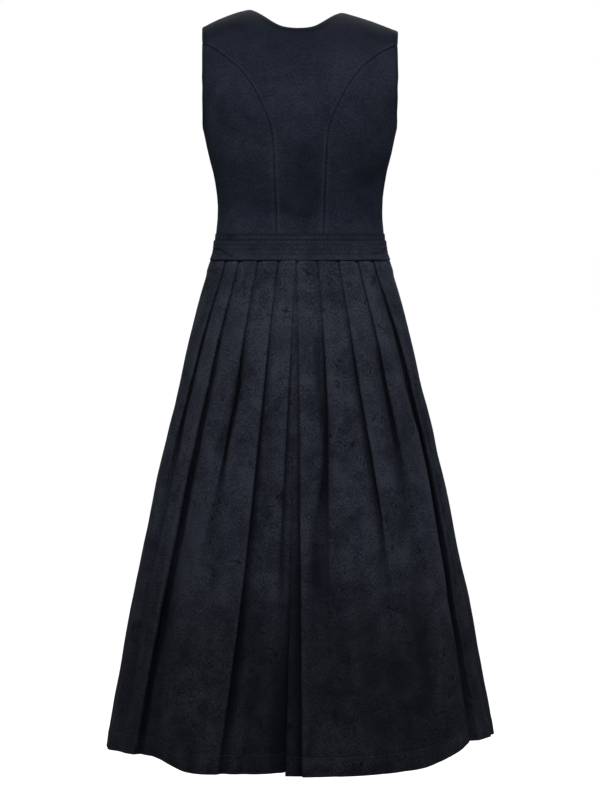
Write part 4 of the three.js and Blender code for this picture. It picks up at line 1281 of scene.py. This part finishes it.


def fold_shade(pleats, degrees, pleated, z, speed, fall):
    """The painted shade in the hollow beside each fold: a thin line at the band and wider below."""
    shade = np.zeros(degrees.shape)
    reach = mix(1.6, 12.0, np.clip((fall - 0.1) * 1.6, 0, 1))
    for pleat in pleats:
        angle, lap, drop = (between(LEVELS, pleat[key], z) for key in ("angle", "lap", "drop"))
        foot = angle + np.minimum(lap, 0) / speed
        away = (foot - degrees) * speed
        closed = np.clip(1 + lap / 22, 0.15, 1)
        deep = np.maximum(np.clip((drop - 2.5) / 6, 0, 1) * closed, np.clip(0.6 - 5 * fall, 0, 1))
        under = np.clip(-pleated / (0.35 * drop), 0, 1) * (degrees < angle + np.maximum(lap, 0) / speed + 0.3)
        spread = np.where(away > 0, bump(away, reach), bump(away, 0.6 * reach + 6))
        shade = np.maximum(shade, deep * under * spread)
    # The middle seam's fold casts its painted shade on the quarter on the seam's other side too.
    if pleats is PLEATS_A:
        angle, drop = (between(LEVELS, PLEATS_B[0][key], z) for key in ("angle", "drop"))
        wide = mix(reach, MIDDLE_SHADE, np.clip((fall - 0.62) * 3, 0, 1))
        shade = np.maximum(shade, np.clip(drop / 7, 0, 1) * bump((degrees + angle) * speed, wide))
    return shade


def skirt_grid(name, pleats, seam_way):
    """The cloth of a quarter from its hem's edge up, its tone, and the line inside that its top is turned in
    to: rows up, columns by rising angle."""
    front, left = "front" in name, "left" in name
    levels = mix(SKIRT_TOP_Z, HEM_Z, np.linspace(0, 1, SKIRT_ROWS + 1) ** 1.12)
    steps = path_steps(pleats)
    firsts = [seam_way * float(between(LEVELS, MIDDLE_SEAM, z)) for z in levels]
    lines = np.array([rounded(quarter_path(pleats, z, front, first), steps)
                      for z, first in zip(levels, firsts)])
    degrees, pleated = lines[..., 0], lines[..., 1]
    z = np.broadcast_to(levels[:, None], degrees.shape)
    around = np.abs(degrees)
    on = skirt_outline(around, z, front)
    way = unit(skirt_outline(around + 0.5, z, front) - skirt_outline(np.maximum(around - 0.5, 0), z, front))
    out = np.stack([-way[..., 1], way[..., 0]], axis=-1)
    near = np.minimum(around, 89)
    speed = 2 * np.linalg.norm(skirt_outline(near + 0.5, z, front) - skirt_outline(near, z, front), axis=-1)
    fall = (z - SKIRT_TOP_Z) / (HEM_Z - SKIRT_TOP_Z)
    from_seam = np.arange(degrees.shape[1])
    at_seams = bump(np.minimum(from_seam, from_seam[::-1]), 2.0)[None, :]
    creased = skirt_creases(degrees, z, speed, CREASES[name]) * (1 - at_seams)
    side_way, depth_way = (1 if left else -1), (-1 if front else 1)
    shape = np.stack([side_way * on[..., 0] * np.sign(degrees), depth_way * on[..., 1], z * 0.3], axis=-1)
    uneven = np.clip(fall * 3, 0, 1) * unevenness(shape, SKIRT_UNEVEN)
    height = pleated + creased + uneven - 0.9 * bump(z - SKIRT_TOP_Z, 2.2) - SKIRT_WALL / 2
    height = height + WAIST_SWELL["out"] * bump(z - SKIRT_TOP_Z + WAIST_SWELL["below"], WAIST_SWELL["tall"])
    on = on + out * height[..., None]
    x = np.where(degrees < 0, -on[..., 0], on[..., 0])
    y = on[..., 1]
    x[:, 0] += SEAM_GAP / 2
    y[:, -1] = np.maximum(y[:, -1], SEAM_GAP / 2)
    at_top = WAIST_RISE["up"] * bump(z - SKIRT_TOP_Z, WAIST_RISE["tall"])
    rise = between(*HEM_RISE[name], around) * fall**3 + at_top
    grid = np.stack([side_way * x, depth_way * y, z + rise], axis=-1)
    below = PAINTED_SHADE_LOW["from"] - z + PAINTED_SHADE_LOW["wander"] * wobble(shape, 60, 3)
    low = np.clip(below / PAINTED_SHADE_LOW["over"], 0, 1) * np.clip(1.25 - around / 80, 0.3, 1)
    # Painted light and shade: lighter on the creases' ridges and darker in their troughs, painted shade low
    # on the skirt, patches of painted light and shade, painted shade in the hollows of the folds, and lighter
    # along the tops of the folds.
    tone = 0.085 * creased + PAINTED_SHADE_LOW["tone"] * low + laid_tones(around, z, SKIRT_TONES[name])
    tone = tone - 0.95 * fold_shade(pleats, degrees, pleated, z, speed, fall)
    over_fold = np.clip(1 + pleated / 1.2, 0, 1) * np.gradient(np.gradient(pleated, axis=1), axis=1)
    tone = tone + np.clip(-over_fold * 1.6, 0, 0.4)
    grid, tone = grid[::-1], tone[::-1]
    inner = (on - out * (height + WAIST_TURN["in"])[..., None])[0]
    x_in = np.where(degrees[0] < 0, -inner[:, 0], inner[:, 0])
    inner = np.stack([side_way * x_in, depth_way * inner[:, 1], z[0]], axis=-1)
    if left == front:
        return grid[:, ::-1], tone[:, ::-1], inner[::-1]
    return grid, tone, inner


def with_turned_hem(grid, tone):
    """Adds the hem that is turned up inside, before the grid's first row."""
    inwards = -grid_normals(grid)
    up = lengths_along(grid, 0).mean(axis=1)
    radius = HEM_TURN["layer"] / 2
    edge, way = grid[0], unit(grid[0] - grid[1])
    rounds = [edge + inwards[0] * radius * (1 - math.cos(turn)) + way * radius * math.sin(turn)
              for turn in (math.pi / 4, math.pi / 2, 3 * math.pi / 4)]
    rounds.append(edge + inwards[0] * HEM_TURN["layer"])
    last = int(np.searchsorted(up, HEM_TURN["height"]))
    inner = [grid[k] + inwards[k] * HEM_TURN["layer"] for k in range(1, last + 1)]
    turned_up = np.array(rounds + inner)[::-1]
    return np.concatenate([turned_up, grid]), np.concatenate([np.zeros(turned_up.shape[:2]), tone])


def with_waist_turn(grid, tone, outline):
    """Adds the top edge that is turned in under the waistband, after the grid's last row: every layer of the
    pleats runs to one smooth line inside, and from there down."""
    top = grid[-1]
    inner = outline.copy()
    inner[:, 2] = top[:, 2] - 0.4
    lower = inner - [0, 0, WAIST_TURN["down"]]
    rows = [mix(top, inner, 0.5) + [0, 0, 0.1], inner, mix(inner, lower, 0.5), lower]
    # Painted shade on the turned-in top, which lies inside.
    shade_inside = -np.ones((len(rows), len(top)))
    return np.concatenate([grid, rows]), np.concatenate([tone, shade_inside])


def with_allowances(grid, tone):
    """Adds the seam allowances, which stand inwards along both side edges."""
    inwards = -grid_normals(grid)
    steps = ALLOWANCE["depth"] * np.arange(ALLOWANCE["steps"], 0, -1) / ALLOWANCE["steps"]
    first = grid[:, :1] + inwards[:, :1] * steps[None, :, None]
    second = grid[:, -1:] + inwards[:, -1:] * steps[None, ::-1, None]
    # Painted shade on the allowances, which stand inside.
    shade_inside = -np.ones((len(grid), len(steps)))
    return np.concatenate([first, grid, second], axis=1), np.concatenate([shade_inside, tone, shade_inside], axis=1)


def make_skirt_quarter(name, pleats, seam_way, weave_shift):
    grid, tone, inner = skirt_grid(name, pleats, seam_way)
    up = lengths_along(grid, 0).mean(axis=1)
    hem = HEM_TURN["height"] - 1
    line = bump(up - hem, 1.6)[:, None]
    fuller = (up < hem)[:, None] * bump(hem - up - 7, 9)[:, None]
    grid = grid + grid_normals(grid) * (0.5 * fuller - 0.8 * line)[..., None]
    # Lighter at the hem's edge, painted shade along the line of its stitching and painted light on the fuller
    # turned-up hem below it.
    tone = tone + 0.35 * bump(up, 2)[:, None] - 0.6 * line + 0.12 * fuller
    SEWN[name] = (grid + grid_normals(grid) * SKIRT_CLOTH / 2, grid_normals(grid))
    grid, tone = with_waist_turn(grid, tone, inner)
    grid, tone = with_turned_hem(*with_allowances(grid, tone))
    piece = cloth(name + "_cloth", grid, SKIRT_COTTON, SKIRT_CLOTH, 0, np.clip(tone, -1, 1), rim=0,
                  offset=(weave_shift, 0))
    sewn_in(piece, name)
    return piece


# Each quarter's pleats, the side of the middle that its seam lies on and how far its weave is moved, in mm.
QUARTERS = {
    "skirt_back_left": (PLEATS_A, 1, 2321),
    "skirt_back_right": (PLEATS_B, -1, 4853),
    "skirt_front_left": (PLEATS_B, -1, 7807),
    "skirt_front_right": (PLEATS_A, 1, 8651),
}
for name, (pleats, seam_way, weave_shift) in QUARTERS.items():
    PIECES[name] = make_skirt_quarter(name, pleats, seam_way, weave_shift)

# ---------------------------------------------------------------- stitching

STITCH = {"pitch": 3.2, "length": 2.3, "thick": 0.55, "proud": 0.05}
FROM_SEAM = 4.2  # the bodice's topstitching
FROM_EDGE = {"bodice": 6, "band_top": 2.2, "over_band": 2, "placket": 2.5}


def beside(name, edge, distance, low=0.0, high=1.0):
    """A line on a piece's face at a distance from one of its edges, between two shares of that edge."""
    face, normal = SEWN[name]
    if edge in ("top", "bottom"):
        face, normal = face.swapaxes(0, 1), normal.swapaxes(0, 1)
    if edge in ("second", "top"):
        face, normal = face[:, ::-1], normal[:, ::-1]
    rows = range(int(low * (len(face) - 1)), int(math.ceil(high * (len(face) - 1))) + 1)
    along = lengths_along(face, 1)
    points = [[np.interp(distance, along[i], grid[i, :, k]) for k in range(3) for grid in (face, normal)]
              for i in rows]
    points = np.array(points).reshape(-1, 3, 2)
    return points[..., 0], unit(points[..., 1])


def inside(name, edge, distance, low=0.0, high=1.0):
    """A line on a panel's face that keeps a distance from part of its edge, round the corners too."""
    face, normal = SEWN[name]
    line, out = edge_part(face, edge, low, high), edge_part(normal, edge, low, high)
    inwards = np.cross(out, np.gradient(line, axis=0))
    inwards = inwards * np.sign(((face.mean(axis=(0, 1)) - line) * inwards).sum())
    moved = line + unit(inwards) * distance
    moved = moved[gap_to(moved, line) > 0.96 * distance]
    points, normals = face.reshape(-1, 3), normal.reshape(-1, 3)
    nearest = np.argmin(((moved[:, None] - points) ** 2).sum(axis=-1), axis=1)
    above = ((moved - points[nearest]) * normals[nearest]).sum(axis=-1, keepdims=True)
    return moved - above * normals[nearest], normals[nearest]


def stitch_poses(points, normals, size):
    length = np.concatenate([[0], np.cumsum(np.linalg.norm(np.diff(points, axis=0), axis=1))])
    count = int(length[-1] / size["pitch"])
    at = (np.arange(count) + 0.5) * length[-1] / max(count, 1)
    ways = unit(read_along(points, length, at + 0.8) - read_along(points, length, at - 0.8))
    spots, outs = read_along(points, length, at), read_along(normals, length, at)
    poses = []
    for spot, way, out in zip(spots, ways, outs):
        aside = Vector(np.cross(out, way)).normalized()
        way = Vector(way)
        out = way.cross(aside)
        half, thin = size["length"] / 2 * MM, size["thick"] / 2 * MM
        pose = Matrix((aside * thin, out * thin, way * half)).transposed().to_4x4()
        pose.translation = (Vector(spot) + out * size["proud"]) * MM
        poses.append(pose)
    return poses


def stitches(name, lines, size=STITCH):
    """A row of stitches along each of some lines, as one piece of thread."""
    poses = [pose for points, normals in lines for pose in stitch_poses(points, normals, size)]
    bm = bmesh.new()
    for start in range(0, len(poses), 20):  # a few at a time, which is quicker
        few = bmesh.new()
        for pose in poses[start:start + 20]:
            bmesh.ops.create_uvsphere(few, u_segments=5, v_segments=4, radius=1, matrix=pose)
        some = bpy.data.meshes.new("few")
        few.to_mesh(some)
        few.free()
        bm.from_mesh(some)
        bpy.data.meshes.remove(some)
    thread = finished(name, bm, Matrix.Identity(4), THREAD, 180)
    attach(thread, "root")
    return thread


SEWING = {name: [] for name in PIECES}  # the rows of stitches on each piece


def row(piece, name, lines):
    SEWING[piece].append(stitches(name, lines))


def sew_bodice():
    back, slot, far = "bodice_back_centre", "bodice_cloth", FROM_EDGE["bodice"]
    both = ("first", "second")
    row(back, "topstitching_back_seams", [inside(back, edge, FROM_SEAM, 0, HIGH_BACK) for edge in both])
    row(back, "stitching_back_neck", [inside(back, "top", far, 0.2, 0.8)])
    row(back, "stitching_back_armholes", [inside(back, edge, far, HIGH_BACK, 1) for edge in both])
    for side in ("left", "right"):
        for part in ("side_back", "side_front"):
            name = f"bodice_{part}_{side}"
            row(name, f"stitching_{part}_armhole_{side}", [inside(name, "top", far)])
        name = f"bodice_front_{side}"
        inner, outer = both if side == "left" else both[::-1]
        row(name, f"topstitching_front_{side}", [
            inside(name, inner, FROM_SEAM, 0, HIGH_FRONT), inside(name, inner, far, HIGH_FRONT, 1),
            inside(name, outer, far, NECK_FRONT, 1)])


def sew_waistband():
    under, over = "waistband_under", "waistband_over"
    row(under, "stitching_band_top", [beside(under, "top", FROM_EDGE["band_top"])])
    over_lines = [beside(over, edge, FROM_EDGE["over_band"]) for edge in ("top", "bottom")]
    row(over, "stitching_band_over", over_lines)


def sew_placket_and_hem():
    placket_lines = [beside("front_placket", edge, FROM_EDGE["placket"]) for edge in ("first", "second")]
    row("front_placket", "stitching_placket", placket_lines)
    for name in QUARTERS:
        hem_line = beside(name, "bottom", HEM_TURN["height"] - 1)
        row(name, "stitching_hem_" + name, [hem_line])


sew_bodice()
sew_waistband()
sew_placket_and_hem()
